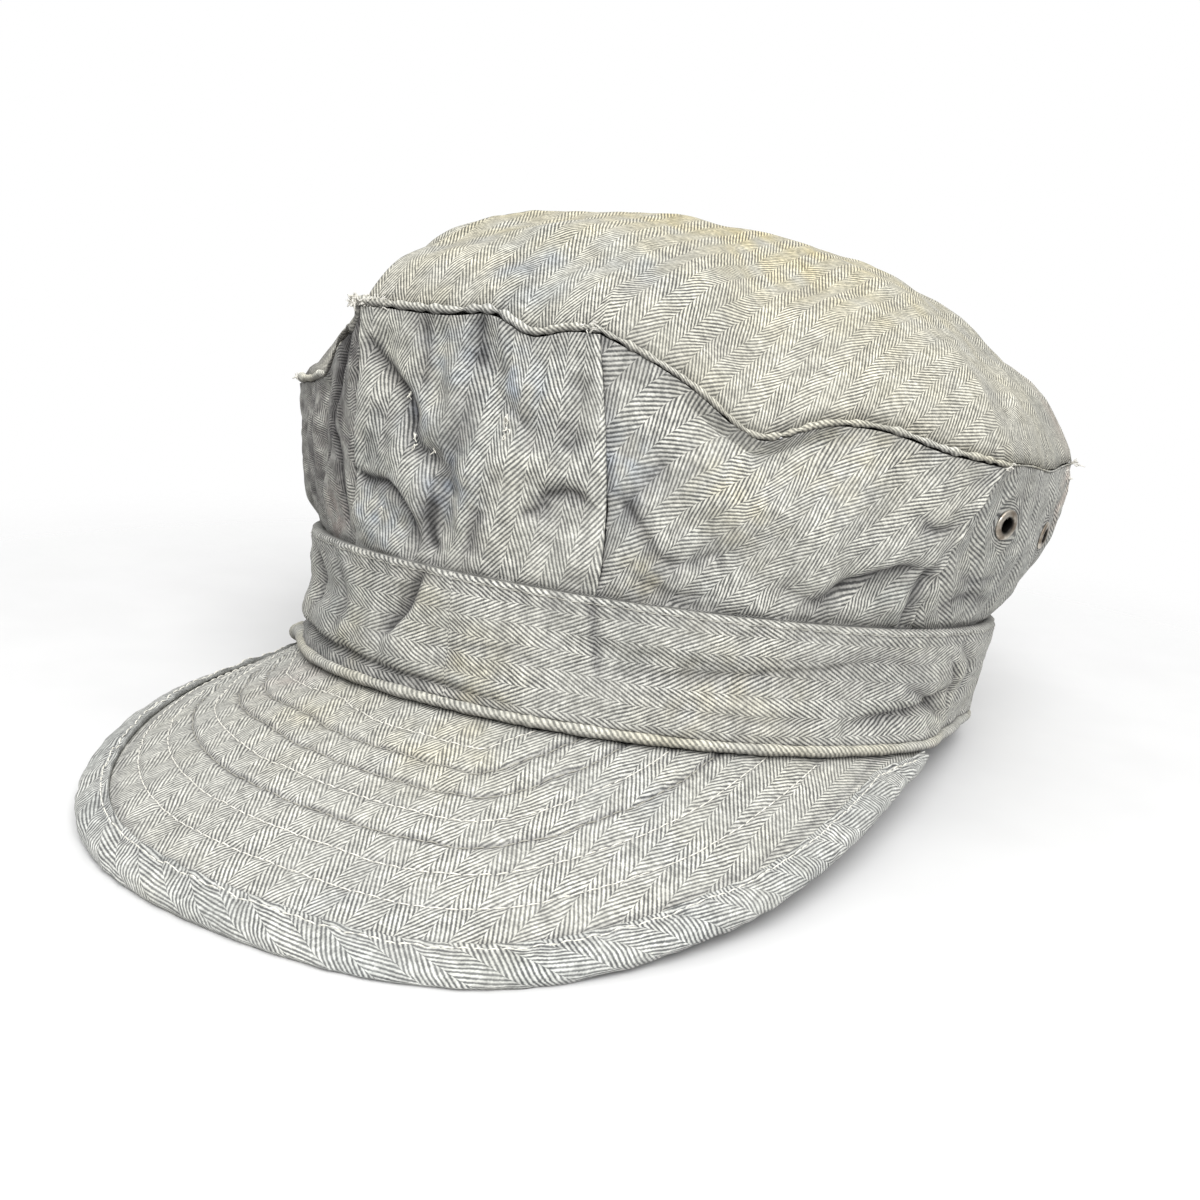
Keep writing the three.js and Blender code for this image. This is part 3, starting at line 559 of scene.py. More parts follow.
# Peak: its reach is a smooth curve through the table
def peakReach(degrees):
    angles, reaches = peakReaches.T
    last = len(angles) - 1
    here = np.clip(np.searchsorted(angles, degrees, side="right") - 1, 0, last - 1)
    after = np.minimum(last, np.arange(last + 1) + 1)
    before = np.maximum(0, np.arange(last + 1) - 1)
    slopes = (reaches[after] - reaches[before]) / (angles[after] - angles[before])
    width = angles[here + 1] - angles[here]
    t = (degrees - angles[here]) / width
    rise = width * (t * (1 - t) ** 2 * slopes[here] - t * t * (1 - t) * slopes[here + 1])
    return lerp(reaches[here], reaches[here + 1], t * t * (3 - 2 * t)) + rise


peakSlope = radians(peak["slope"])
peakEnd = peakReaches[-1, 0]


# The peak slopes evenly down from the oval: out along its slope and depth square to it
def peakPoint(degrees, out, depth):
    degrees, out, depth = np.broadcast_arrays(degrees, out, depth)
    level = out * cos(peakSlope) - depth * sin(peakSlope)
    place = ovalPoint(degrees, 0.0, band["weltRadius"]) + level[..., None] * ovalNormal(degrees)
    place[..., 2] = -cloth["gap"] - out * sin(peakSlope) - depth * cos(peakSlope)
    return place


# Pose: the cap is pitched until the peak's front edge and the back of the band rest on the ground
frontEdge = peakPoint(0.0, peakReach(0.0), cloth["peak"] + cloth["gap"] + cloth["binding"])
backEdge = ovalPoint(180.0, 0.0, band["weltRadius"] - band["weltOutset"])
pitch = atan2(backEdge[2] + peak["flatBack"] - frontEdge[2] - peak["flatFront"], backEdge[1] - frontEdge[1])
rise = backEdge[1] * sin(pitch) - peak["flatBack"] * cos(pitch)


def pitched(points):
    y = points[..., 1] * cos(pitch) + points[..., 2] * sin(pitch)
    z = points[..., 2] * cos(pitch) - points[..., 1] * sin(pitch)
    return pointsOf(points[..., 0], y, z)


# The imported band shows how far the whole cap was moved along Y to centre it
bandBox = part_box("band")
bandRim = pitched(ovalPoint(np.linspace(0, 360, 89), band["height"]))
shiftY = bandBox[1].y * 1000 - bandRim[:, 1].max()


# From the band's frame in millimetres to where the cap rests, in metres
def settled(points):
    place = pitched(points) + (0, shiftY, rise)
    place[..., 2] = np.maximum(0, place[..., 2])
    return place / 1000


# Camera at the photograph's angle and framing, given in the band's frame
view = {
    "azimuth": 25.66, "elevation": 9.16, "roll": 8.57, "distance": 401.0, "lens": 43.94,
    "shiftX": -0.0402, "shiftY": 0.0581,
}


def placeCamera():
    azimuth, elevation, roll = (radians(view[key]) for key in ("azimuth", "elevation", "roll"))
    back = np.array([sin(azimuth) * cos(elevation), -cos(azimuth) * cos(elevation), sin(elevation)])
    level = np.array([cos(azimuth), sin(azimuth), 0])
    above = np.cross(back, level)
    right = level * cos(roll) + above * sin(roll)
    up = above * cos(roll) - level * sin(roll)
    place = (pitched(back * view["distance"]) + (0, shiftY, rise)) / 1000
    data = bpy.data.cameras.new("camera")
    data.lens = view["lens"]
    data.sensor_width = 36
    data.shift_x = view["shiftX"]
    data.shift_y = view["shiftY"]
    data.clip_start = 0.01
    camera = bpy.data.objects.new("camera", data)
    bpy.context.scene.collection.objects.link(camera)
    axes = np.column_stack([pitched(right), pitched(up), pitched(back)])
    camera.matrix_world = Matrix.Translation(Vector(place)) @ Matrix(axes.tolist()).to_4x4()
    bpy.context.scene.camera = camera


placeCamera()
print("camera placed")


# A socket that takes part in sums: each operator adds one Math node, and a reflected one puts the
# other value first
class Wire:
    def __init__(self, recipe, socket):
        self.recipe = recipe
        self.socket = socket

    def math(self, operation, other=0.0):
        return self.recipe.add("Math", {"operation": operation}, {0: self, 1: other})

    def reflected(self, operation, other):
        return self.recipe.add("Math", {"operation": operation}, {0: other, 1: self})

    def __add__(self, other):
        return self.math("ADD", other)

    def __radd__(self, other):
        return self.reflected("ADD", other)

    def __sub__(self, other):
        return self.math("SUBTRACT", other)

    def __rsub__(self, other):
        return self.reflected("SUBTRACT", other)

    def __mul__(self, other):
        return self.math("MULTIPLY", other)

    def __rmul__(self, other):
        return self.reflected("MULTIPLY", other)

    def __truediv__(self, other):
        return self.math("DIVIDE", other)

    def __rtruediv__(self, other):
        return self.reflected("DIVIDE", other)


# A material being mixed: add() makes any node, sets it up first and then gives its sockets their
# values or links. It returns the wire of the asked output.
class Recipe:
    def __init__(self, owner):
        self.owner = bpy.data.materials.new(owner) if isinstance(owner, str) else owner
        self.owner.use_nodes = True
        self.tree = self.owner.node_tree
        self.tree.nodes.clear()

    def add(self, kind, settings=None, sockets=None, output=0):
        node = self.tree.nodes.new("ShaderNode" + kind)
        for key, value in (settings or {}).items():
            setattr(node, key, value)
        for key, value in (sockets or {}).items():
            if isinstance(value, Wire):
                self.tree.links.new(value.socket, node.inputs[key])
            else:
                node.inputs[key].default_value = value
        return Wire(self, node.outputs[output]) if len(node.outputs) else None

    def clip(self, value, low, high, start=0.0, end=1.0):
        ends = {"From Min": low, "From Max": high, "To Min": start, "To Max": end}
        return self.add("MapRange", {"interpolation_type": "SMOOTHSTEP"}, {"Value": value, **ends})

    def split(self, vector):
        first = self.add("SeparateXYZ", {}, {0: vector})
        return first, Wire(self, first.socket.node.outputs[1])

    def noise(self, vector, scale, detail=2.0, roughness=0.5):
        levels = {"Vector": vector, "Scale": scale, "Detail": detail, "Roughness": roughness}
        return self.add("TexNoise", {}, levels)

    def mix(self, factor, a, b, blend="MIX"):
        return self.add("Mix", {"data_type": "RGBA", "blend_type": blend}, {0: factor, 6: a, 7: b}, 2)

    def tinted(self, tone, tint):
        return self.mix(1.0, tone, tint, "MULTIPLY")

    def grey(self, value):
        return self.add("CombineXYZ", {}, {0: value, 1: value, 2: value})

    def place(self):
        return self.add("TexCoord", {}, {}, "Object")

    def cast(self):
        return self.add("Attribute", {"attribute_name": "cast"})

    def bump(self, height, strength, depth):
        return self.add("Bump", {}, {"Strength": strength, "Distance": depth, "Height": height})

    def skinned(self, skin):
        return self.finish(self.add("BsdfPrincipled", {}, skin))

    def finish(self, surface):
        self.add("OutputMaterial", {}, {"Surface": surface})
        return self.owner


# Faded herringbone twill. The weave's coordinates are in hundreds of millimetres: x across its
# stripes and y along them. Slanting threads turn back at each stripe's edge and break there by half
# a pitch. Every thread has its own lightness, the cloth is mottled, and the attribute cast colours
# it by place with stains and painted shade. Noise scales are per metre.
twill = {
    "stripe": 4.2, "pitch": 0.78, "slant": 27.0, "wander": 0.6, "bead": 0.62, "beads": 0.05,
    "thread": (0.735, 0.727, 0.662, 1), "ground": (0.118, 0.12, 0.116, 1), "yellow": (1.02, 1.0, 0.93),
    "ownTone": 1.1, "fuzz": 1.3, "fuzzHeight": 0.8, "bump": 0.00011, "bumpStrength": 0.7,
    "roughness": 0.92, "sheen": 0.1, "sheenRoughness": 0.5, "specular": 0.12,
    "driftScale": 70.0, "ownScale": 0.55, "fuzzScale": 1900.0, "patchScale": 95.0, "cloudScale": 42.0,
    "grainScale": 850.0, "grimeScale": 210.0,
}


def makeTwill(name, contrast=1.0, warmth=0.0):
    recipe = Recipe(name)
    across, along = recipe.split(recipe.add("UVMap", {"uv_map": "weave"}))
    across = across * 100.0
    along = along * 100.0
    place = recipe.place()
    drift = recipe.noise(place, twill["driftScale"], 1.0) - 0.5
    across = across + drift * (2 * twill["wander"])
    folded = across.math("PINGPONG", twill["stripe"])
    odd = (across / twill["stripe"]).math("FLOOR").math("PINGPONG", 1.0)
    slant = radians(twill["slant"])
    lines = (folded * cos(slant) + along * sin(slant)) / twill["pitch"] + odd * 0.5
    wave = (lines * (2 * pi)).math("SINE") * 0.5 + 0.5
    beads = (along * (2 * pi / twill["bead"])).math("SINE")
    threadSpot = {0: (lines + 0.25).math("FLOOR") * 3.7, 1: along, 2: odd * 9.0}
    own = recipe.noise(recipe.add("CombineXYZ", {}, threadSpot), twill["ownScale"], 2.0, 0.6)
    fuzz = recipe.noise(place, twill["fuzzScale"], 3.0, 0.75)
    patches = recipe.noise(place, twill["patchScale"], 3.0, 0.6)
    height = wave + beads * twill["beads"]
    light = recipe.clip(height + (own - 0.5) * twill["ownTone"] + (fuzz - 0.5) * twill["fuzz"], 0.0, 1.0)
    firm = recipe.clip(patches, 0.36, 0.66, 1.0, 0.7) * contrast
    tone = recipe.mix(0.5 + (light - 0.5) * firm, twill["ground"], twill["thread"])
    tone = recipe.tinted(tone, recipe.cast())
    yellowed = recipe.clip(recipe.noise(place, twill["cloudScale"], 3.0, 0.55), 0.48, 0.74, 0.0, 0.45)
    red, green, blue = twill["yellow"]
    tone = recipe.mix(yellowed, tone, recipe.tinted(tone, (red, green, blue - warmth, 1)))
    grain = recipe.clip(recipe.noise(place, twill["grainScale"], 3.0, 0.65), 0.3, 0.7, 0.78, 1.18)
    grime = recipe.clip(recipe.noise(place, twill["grimeScale"], 4.0, 0.62), 0.36, 0.62, 0.88, 1.04) * grain
    return recipe.skinned({
        "Base Color": recipe.tinted(tone, recipe.grey(grime)),
        "Normal": recipe.bump(height + fuzz * twill["fuzzHeight"], twill["bumpStrength"], twill["bump"]),
        "Roughness": twill["roughness"], "Specular IOR Level": twill["specular"],
        "Sheen Weight": twill["sheen"], "Sheen Roughness": twill["sheenRoughness"],
    })


# Spun thread: fine turns along it and small changes of lightness
def makeThread(name, tint):
    recipe = Recipe(name)
    flecks = recipe.clip(recipe.noise(recipe.place(), 1500.0, 2.0, 0.6), 0.3, 0.7, 0.78, 1.06)
    tone = recipe.tinted(tint, recipe.grey(flecks))
    return recipe.skinned({
        "Base Color": tone, "Roughness": 0.8, "Normal": recipe.bump(flecks, 0.5, 0.0001),
    })


# Aged brass: brown where it has dulled, paler where it is rubbed, and painted shade darkens the
# inside of its barrel, where the attribute cast says so
def makeBrass(name):
    recipe = Recipe(name)
    rubbed = recipe.clip(recipe.noise(recipe.place(), 420.0), 0.36, 0.64)
    tone = recipe.mix(rubbed, (0.30, 0.25, 0.20, 1), (0.66, 0.61, 0.53, 1))
    return recipe.skinned({
        "Base Color": recipe.tinted(tone, recipe.cast()), "Metallic": 0.75,
        "Roughness": recipe.clip(rubbed, 0.0, 1.0, 0.55, 0.36),
        "Normal": recipe.bump(rubbed, 0.25, 0.0001),
    })


crownTwill = makeTwill("crown twill")
bandTwill = makeTwill("band twill", 1.0, 0.02)
peakTwill = makeTwill("peak twill", 0.95)
rollTwill = makeTwill("rolled twill", 0.7)
whiteThread = makeThread("white thread", (0.86, 0.84, 0.76, 1))
paleThread = makeThread("pale thread", (0.50, 0.49, 0.44, 1))
wornThread = makeThread("worn thread", (0.72, 0.70, 0.64, 1))
dullThread = makeThread("dull thread", (0.40, 0.39, 0.34, 1))
brass = makeBrass("aged brass")
print("materials mixed")


# A mesh from points in the band's frame. Corners of faces take their weave places from a list of
# their own, because a weave that runs round a loop ends where it began.
def makePiece(name, points, faceSets, weave, cast, material, nodes=()):
    mesh = bpy.data.meshes.new(name)
    place = settled(points.reshape(-1, 3))
    weave = weave.reshape(-1, 2)
    mesh.vertices.add(len(place))
    mesh.vertices.foreach_set("co", place.ravel())
    corner = np.concatenate([faces.ravel() for faces, _ in faceSets])
    weaveCorner = np.concatenate([faces.ravel() for _, faces in faceSets])
    sizes = np.concatenate([np.full(len(faces), faces.shape[1]) for faces, _ in faceSets])
    mesh.loops.add(len(corner))
    mesh.loops.foreach_set("vertex_index", corner.astype(np.int32))
    mesh.polygons.add(len(sizes))
    mesh.polygons.foreach_set("loop_start", (np.cumsum(sizes) - sizes).astype(np.int32))
    mesh.polygons.foreach_set("loop_total", sizes.astype(np.int32))
    mesh.update(calc_edges=True)
    uv = (weave[weaveCorner] / 100).astype(np.float32)
    mesh.uv_layers.new(name="weave").data.foreach_set("uv", uv.ravel())
    if cast is not None:
        colours = np.ones((len(place), 4), np.float32)
        colours[:, :3] = cast.reshape(-1, 3)
        layer = mesh.color_attributes.new("cast", "FLOAT_COLOR", "POINT")
        layer.data.foreach_set("color", colours.ravel())
    mesh.polygons.foreach_set("use_smooth", np.ones(len(sizes), bool))
    mesh.validate()
    mesh.materials.append(material)
    piece = bpy.data.objects.new(name, mesh)
    bpy.context.scene.collection.objects.link(piece)
    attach(piece, "root")
    for node in nodes:
        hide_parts(node)


# Faces between the sections of a swept surface: (section, place on it), with either direction
# closed into a loop. The second array numbers the weave's grid, which has one more section or place
# where the surface closes.
def sweptFaces(sections, places, loopSections, loopPlaces):
    i, j = np.meshgrid(
        np.arange(sections if loopSections else sections - 1),
        np.arange(places if loopPlaces else places - 1), indexing="ij",
    )
    i, j = i.ravel(), j.ravel()
    nextI, nextJ = (i + 1) % sections, (j + 1) % places
    wide = places + 1 if loopPlaces else places
    faces = np.stack([i * places + j, nextI * places + j, nextI * places + nextJ, i * places + nextJ], 1)
    weave = np.stack([i * wide + j, (i + 1) * wide + j, (i + 1) * wide + j + 1, i * wide + j + 1], 1)
    return faces, weave


# Faces that close the two ends of a strip whose sections run out along one face and back along the other
def endFaces(sections, places, wide):
    k = np.arange(places // 2 - 1)
    first = np.stack([k, k + 1, places - 2 - k, places - 1 - k], 1)
    last = first[:, ::-1] + (sections - 1) * places
    lastWeave = first[:, ::-1] + (sections - 1) * wide
    return np.concatenate([first, last]), np.concatenate([first, lastWeave])


# Unit normals of a grid of points, columns first: along the columns turned to along the rows
def gridNormals(grid, loopColumns=False):
    if loopColumns:
        padded = np.concatenate([grid[-1:], grid, grid[:1]])
        along = (padded[2:] - padded[:-2]) / 2
    else:
        along = np.gradient(grid, axis=0)
    return unit(np.cross(along, np.gradient(grid, axis=1)))


# A field blurred over a number of grid steps, by adding shifted copies with falling weights
def blurred(field, steps, loopColumns=False):
    reach = int(2 * steps)
    weights = np.exp(-(np.arange(-reach, reach + 1) / steps) ** 2)
    weights /= weights.sum()
    for axis in (0, 1):
        padding = [(0, 0)] * field.ndim
        padding[axis] = (reach, reach)
        wide = np.pad(field, padding, mode="wrap" if loopColumns and axis == 0 else "edge")
        count = field.shape[axis]
        field = sum(w * np.take(wide, np.arange(k, k + count), axis=axis) for k, w in enumerate(weights))
    return field


# How relief in mm shows in the cloth's lightness, as painted shade with some dirt in hollows and as
# painted highlight and wear on ridges, and how much darker or paler cloth may be drawn
reliefShade = {"hollow": 0.34, "ridge": 0.2, "lowest": -1.2, "highest": 1.0, "palest": -0.4, "darkest": 0.72}


# Lightness by place: hollows are darker with painted shade and dirt, and ridges paler with painted
# highlight and wear, than the cloth round them; the dark field darkens it further
def castOf(height, dark, steps, loopColumns=False, strength=1.0):
    relief = (height - blurred(height, steps, loopColumns)) * strength
    relief = np.clip(relief, reliefShade["lowest"], reliefShade["highest"])
    value = 1 + relief * np.where(relief < 0, reliefShade["hollow"], reliefShade["ridge"])
    return np.clip(value * (1 - np.clip(dark, reliefShade["palest"], reliefShade["darkest"])), 0.2, 1.5)


# What a stain, a worn place or painted shade does to the cloth's colour: shadow is the cool tint of
# painted shade, and dark darkens the cloth, most of all as painted shade on the wearer's right
shades = {
    "blue": (0.84, 0.89, 1.0), "warm": (1.04, 1.0, 0.88), "grey": (0.86, 0.87, 0.88),
    "rosy": (1.0, 0.93, 0.92), "pale": (1.12, 1.12, 1.1), "shadow": (0.97, 0.96, 1.02),
    "dark": (0.62, 0.61, 0.62),
}


# Colour by place: the lightness times each stain's tint, by its amount there, after darker places
# take the cool tint of painted shade
def stained(value, stains):
    cast = np.repeat(value[..., None], 3, axis=-1)
    for shade, amount in [("shadow", np.minimum(1, 1.4 * (1 - value))), *stains]:
        cast *= lerp(np.ones(3), np.array(shades[shade]), np.clip(amount, 0, 1.4)[..., None])
    return cast


# Stains as patches on a piece: each fades round its place (x, y) and is broken up by ripples
def patchesOf(plain, x, y, stains, stretchX, stretchY, broken, wavelength, seed, seedStep=1):
    patches = []
    for atX, atY, half, shade, amount in stains:
        patch = bell(np.hypot((x - atX) * stretchX, (y - atY) * stretchY), half)
        uneven = 1 + broken * ripples(plain, wavelength, seed + int(seedStep * atX))
        patches.append((shade, amount * patch * uneven))
    return patches


# The inner side's lightness, painted darker as shade inside the cap, and how far that side follows
# the outer one's hollows
insideShade = 0.55
sinking = 0.85


# Four walls that join the openings of one taken cell in the two faces of a cloth
def holeWalls(i, j, places, wide):
    sections = np.array([i, i + 1, i + 1, i]) * wide
    rows = np.array([j, j, j + 1, j + 1])
    rim = sections + rows
    rear = sections + places - 1 - rows
    return np.stack([rim, np.roll(rim, -1), np.roll(rear, -1), rear], 1)


# How far the inner side moves with the outer one's hollows
def sunk(normals, height):
    return normals * sinking * np.minimum(height, 0)[..., None]


# A piece of cloth: the outer face with its relief and the inner face behind it, as one closed sweep
# that is a loop, or has its ends closed. Holes are cells of the grid that are left open.
def clothPiece(name, outer, inner, weaveOuter, weaveInner, cast, loop, material, nodes, holes=()):
    columns, outerRows = outer.shape[:2]
    innerRows = inner.shape[1]
    points = np.concatenate([outer, inner[:, ::-1]], axis=1)
    places = outerRows + innerRows
    weave = np.concatenate([weaveOuter, weaveInner[:, ::-1], weaveOuter[:, :1]], axis=1)
    colours = np.concatenate([cast, np.full((columns, innerRows, 3), insideShade)], axis=1)
    faces, weaveFaces = sweptFaces(columns, places, loop, True)
    taken = [i * places + j for i, j in holes] + [i * places + places - 2 - j for i, j in holes]
    faceSets = [(np.delete(faces, taken, axis=0), np.delete(weaveFaces, taken, axis=0))]
    for i, j in holes:
        faceSets.append((holeWalls(i, j, places, places), holeWalls(i, j, places, places + 1)))
    if not loop:
        faceSets.append(endFaces(columns, places, places + 1))
    makePiece(name, points, faceSets, weave, colours, material, nodes)


# Upright panels of the crown
eyelets = {"flange": 3.6, "barrel": 2.4, "bore": 1.7, "lip": 0.6, "sides": 48, "hole": 3.3, "drawn": 8.0}

# Eyelets of the wearer's left: number, across, up, and how far each turns to the front in degrees
eyeletPlaces = [(1, 0.22, 0.66, 16.0), (2, 0.68, 0.58, 5.0)]
panelLook = {
    "waves": 0.36, "wrinkles": 0.09, "lap": 0.7, "lapWidth": 5.0, "pinch": 0.45, "puckers": 0.26,
    "gathers": 0.2, "seamRidge": 0.3, "creases": 1.2, "relief": 1.35, "seam": 0.02,
    # how much darker the cloth is: painted shade in and beside its seams, over the band, under the ridge
    # and beside the front panel's lap, plain darkening round the eyelets, and paler where negative, on
    # lap edges and ridges
    "shade": {
        "lapEdge": 0.12, "besideRidge": 0.12, "onRidge": -0.14, "seam": 0.24, "wideSeam": 0.14,
        "overBand": 0.3, "underRidge": 0.3, "underWornRidge": 0.06, "roundEyelet": 0.25,
    },
}

# Panel edges that stand up as a pale puckered ridge along their seam: panel and its end, 0 or 1
seamRidges = [
    ("left_side_panel", 1), ("right_side_panel", 0), ("left_back_panel", 1), ("right_back_panel", 0),
]

# Stains, worn places and painted shade: panel, across, up, half width in mm, shade and amount
panelStains = {
    "front_panel": [
        (0.42, 0.84, 6.5, "blue", 0.6), (0.70, 0.80, 7, "blue", 0.6), (0.46, 0.33, 6, "blue", 0.8),
        (0.30, 0.62, 5, "blue", 0.5), (0.62, 0.60, 9, "grey", 0.6), (0.85, 0.88, 7, "grey", 0.7),
        (0.08, 0.45, 9, "grey", 0.9), (0.14, 0.15, 8, "blue", 0.6), (0.48, 0.5, 7, "grey", 0.9),
        (0.13, 0.9, 8, "pale", 1.3), (0.36, 0.9, 4, "grey", 0.9), (0.55, 0.92, 4, "grey", 1),
        (0.3, 0.3, 5, "pale", 0.5), (0.52, 0.12, 5, "pale", 0.6), (0.9, 0.55, 5, "grey", 0.6),
    ],
    "left_side_panel": [
        (0.04, 0.55, 7, "blue", 0.6), (0.02, 0.3, 7, "grey", 0.8), (0.35, 0.62, 12, "warm", 0.4),
        (0.6, 0.85, 12, "warm", 0.3), (0.3, 0.15, 10, "grey", 0.5), (0.9, 0.2, 9, "grey", 0.7),
        (0.12, 0.12, 6, "warm", 0.5), (0.6, 0.3, 10, "pale", 0.4),
    ],
    "left_rear_panel": [
        (0.3, 0.4, 16, "grey", 0.9), (0.7, 0.3, 18, "grey", 1), (0.1, 0.7, 8, "grey", 0.8),
        (0.86, 0.84, 8, "rosy", 1.3), (0.86, 0.84, 8, "pale", 1.4), (0.9, 0.8, 6, "pale", 1.2),
        (0.27, 0.84, 4.2, "dark", 0.7), (0.36, 0.88, 3, "dark", 0.5),
    ],
    # painted shade: the wearer's right side is drawn dark, as it is turned from the lamp
    "right_side_panel": [
        (0.92, 0.6, 12, "dark", 0.9), (0.6, 0.5, 26, "dark", 1), (0.2, 0.5, 24, "dark", 0.9),
        (0.97, 0.95, 8, "dark", 0.9), (0.85, 0.1, 6, "rosy", 1.2), (0.9, 0.9, 9, "dark", 0.6),
    ],
    "right_rear_panel": [(0.6, 0.5, 24, "grey", 0.6)],
}


# Share of the way across its panel at which an eyelet sits: the right pair mirrors the left one
def eyeletSide(name, at):
    return at if name.startswith("left") else 1 - at


# Height of a panel's creases, waves, wrinkles and puckered seams over its plain form, and how dark
# the cloth is there, which is mostly painted shade
def panelRelief(name, across, up, points):
    width, tall = panelSize(name)
    x, y = across * width, up * tall
    height, dark = creased(x, y, panelCreases[name], width, tall)
    dark *= panelLook["creases"]
    shade = panelLook["shade"]
    seed = 100 + 10 * panelNames.index(name)
    edge = ease(np.minimum(x, width - x), 0, 5) * ease(up, 0, 0.16) * ease(1 - up, 0, 0.14)
    soft = panelLook["waves"] * ripples(points, 15.0, seed)
    soft += panelLook["wrinkles"] * ripples(points, 4.6, seed + 1)
    height += soft * (0.25 + 0.75 * edge)
    offBand = ease(up, 0, 0.1)
    for side, away in ((0, x), (1, width - x)):
        puckers = panelLook["puckers"] * ripples(pointsOf(y, 0, 40.0 * side), 6.0, seed + 2 + side, 8)
        height += puckers * np.exp(-away / 3.0) * offBand * ease(1 - up, 0, 0.1)
        if name == "front_panel":
            lap = panelLook["lap"] * bell(away, panelLook["lapWidth"])
            height += lap * ease(away, -0.3, 0.9) * ease(up, 0, 0.12)
            dark -= shade["lapEdge"] * bell(away, 0.9)
        elif (name, side) in seamRidges:
            height += panelLook["seamRidge"] * bell(away - 0.5, 0.6) * offBand
            # painted shade beside the ridge and a paler line on it
            dark += shade["besideRidge"] * bell(away - 2.2, 1.0)
            dark += shade["onRidge"] * bell(away - 0.4, 0.45)
        else:
            height -= panelLook["pinch"] * np.exp(-away / 1.1) * offBand
            # painted shade in the pinched seam
            dark += shade["seam"] * np.exp(-away / 1.8)
            if name == "left_side_panel":
                # painted shadow beside the front panel's raised lap
                dark += shade["wideSeam"] * np.exp(-away / 3.0)
    gathers = ripples(pointsOf(x, 0, 80.0), 5.0, seed + 5, 8)
    height += panelLook["gathers"] * gathers * bell(up * tall, 3.0) * ease(up, 0, 0.06)
    # painted shade under the crown's ridge and over the band
    underRidge = shade["underWornRidge" if name == "left_rear_panel" else "underRidge"]
    dark += shade["overBand"] * np.exp(-up * tall / 1.6) + underRidge * np.exp(-(1 - up) * tall / 1.8)
    if name.endswith("rear_panel"):
        for _, at, high, _ in eyeletPlaces:
            away = np.hypot(x - eyeletSide(name, at) * width, y - high * tall)
            height *= 1 - bell(away, 6.5)
            dark += shade["roundEyelet"] * bell(away, 4.6)
    return height, dark


# A panel's cloth: its plain form and relief, twill that leans and widens across it, and open holes
def makePanel(name):
    facts = panels[name]
    width, tall = panelSize(name)
    trim = panelLook["seam"] / width
    acrossLine = np.linspace(trim, 1 - trim, facts["columns"])
    upLine = np.concatenate([[-1.0, -0.5], np.linspace(0, 1, facts["rows"])])
    across, up = np.meshgrid(acrossLine, upLine, indexing="ij")
    plain = panelPoint(name, across, up)
    normals = gridNormals(plain)
    height, dark = panelRelief(name, across, np.maximum(up, 0), plain)
    height = height * (up > 0)
    outer = plain + normals * height[..., None]
    inner = panelPoint(name, across, up, cloth["crown"]) + sunk(normals, height)
    near, far = facts["scale"]
    x, y = (across * near + across**2 * (far - near) / 2) * width, up * tall * lerp(near, far, across)
    weave = turnedWeave(x, y, facts["lean"])
    stains = patchesOf(plain, across, up, panelStains.get(name, []), width, tall, 0.7, 5.0, 7, 100)
    value = facts["tone"] * castOf(height, dark, 5, strength=panelLook["relief"])
    holes = []
    if name.endswith("rear_panel"):
        for _, at, high, lean in eyeletPlaces:
            openedRound(eyeletFrame(name, at, high, lean), outer, inner)
            column = np.searchsorted(acrossLine, eyeletSide(name, at)) - 1
            holes.append((column, np.searchsorted(upLine, high) - 1))
    clothPiece(name + "_twill", outer, inner, weave, weave, stained(value, stains), False, crownTwill,
               [name], holes)


# Draws the cloth back from an eyelet's hole: places nearer its middle than the hole's edge move out
# along the surface to that edge, under the flange. Round the eyelet the cloth leans with it.
def openedRound(place, outer, inner):
    hole, reach = eyelets["hole"], eyelets["drawn"]
    centre, _, _, facing, plainly = place
    for face in (outer, inner):
        offset = face - centre
        flat = offset - (offset @ plainly)[..., None] * plainly
        away = np.linalg.norm(flat, axis=-1)
        push = np.where(away < reach, hole + (reach - hole) * away / reach - away, 0)
        flatter = flat + unit(flat) * push[..., None]
        leaning = -(flatter @ facing) / (plainly @ facing) * (1 - ease(away, 3.0, reach + 1))
        face += flatter - flat + leaning[..., None] * plainly


# The middle of an eyelet on its panel, the two directions in its plane, the one it faces, and the
# one that the cloth faces there
def eyeletFrame(name, at, high, lean):
    side, span = eyeletSide(name, at), 0.03
    centre = panelPoint(name, side, high, cloth["crown"] / 2)
    along = unit(panelPoint(name, side + span, high) - panelPoint(name, side - span, high))
    upward = panelPoint(name, side, high + span) - panelPoint(name, side, high - span)
    plainly = unit(np.cross(along, upward))
    forward = -along if name.startswith("left") else along
    facing = unit(plainly + forward * tan(radians(lean)))
    upward = unit(np.cross(facing, along))
    return centre, np.cross(upward, facing), upward, facing, plainly


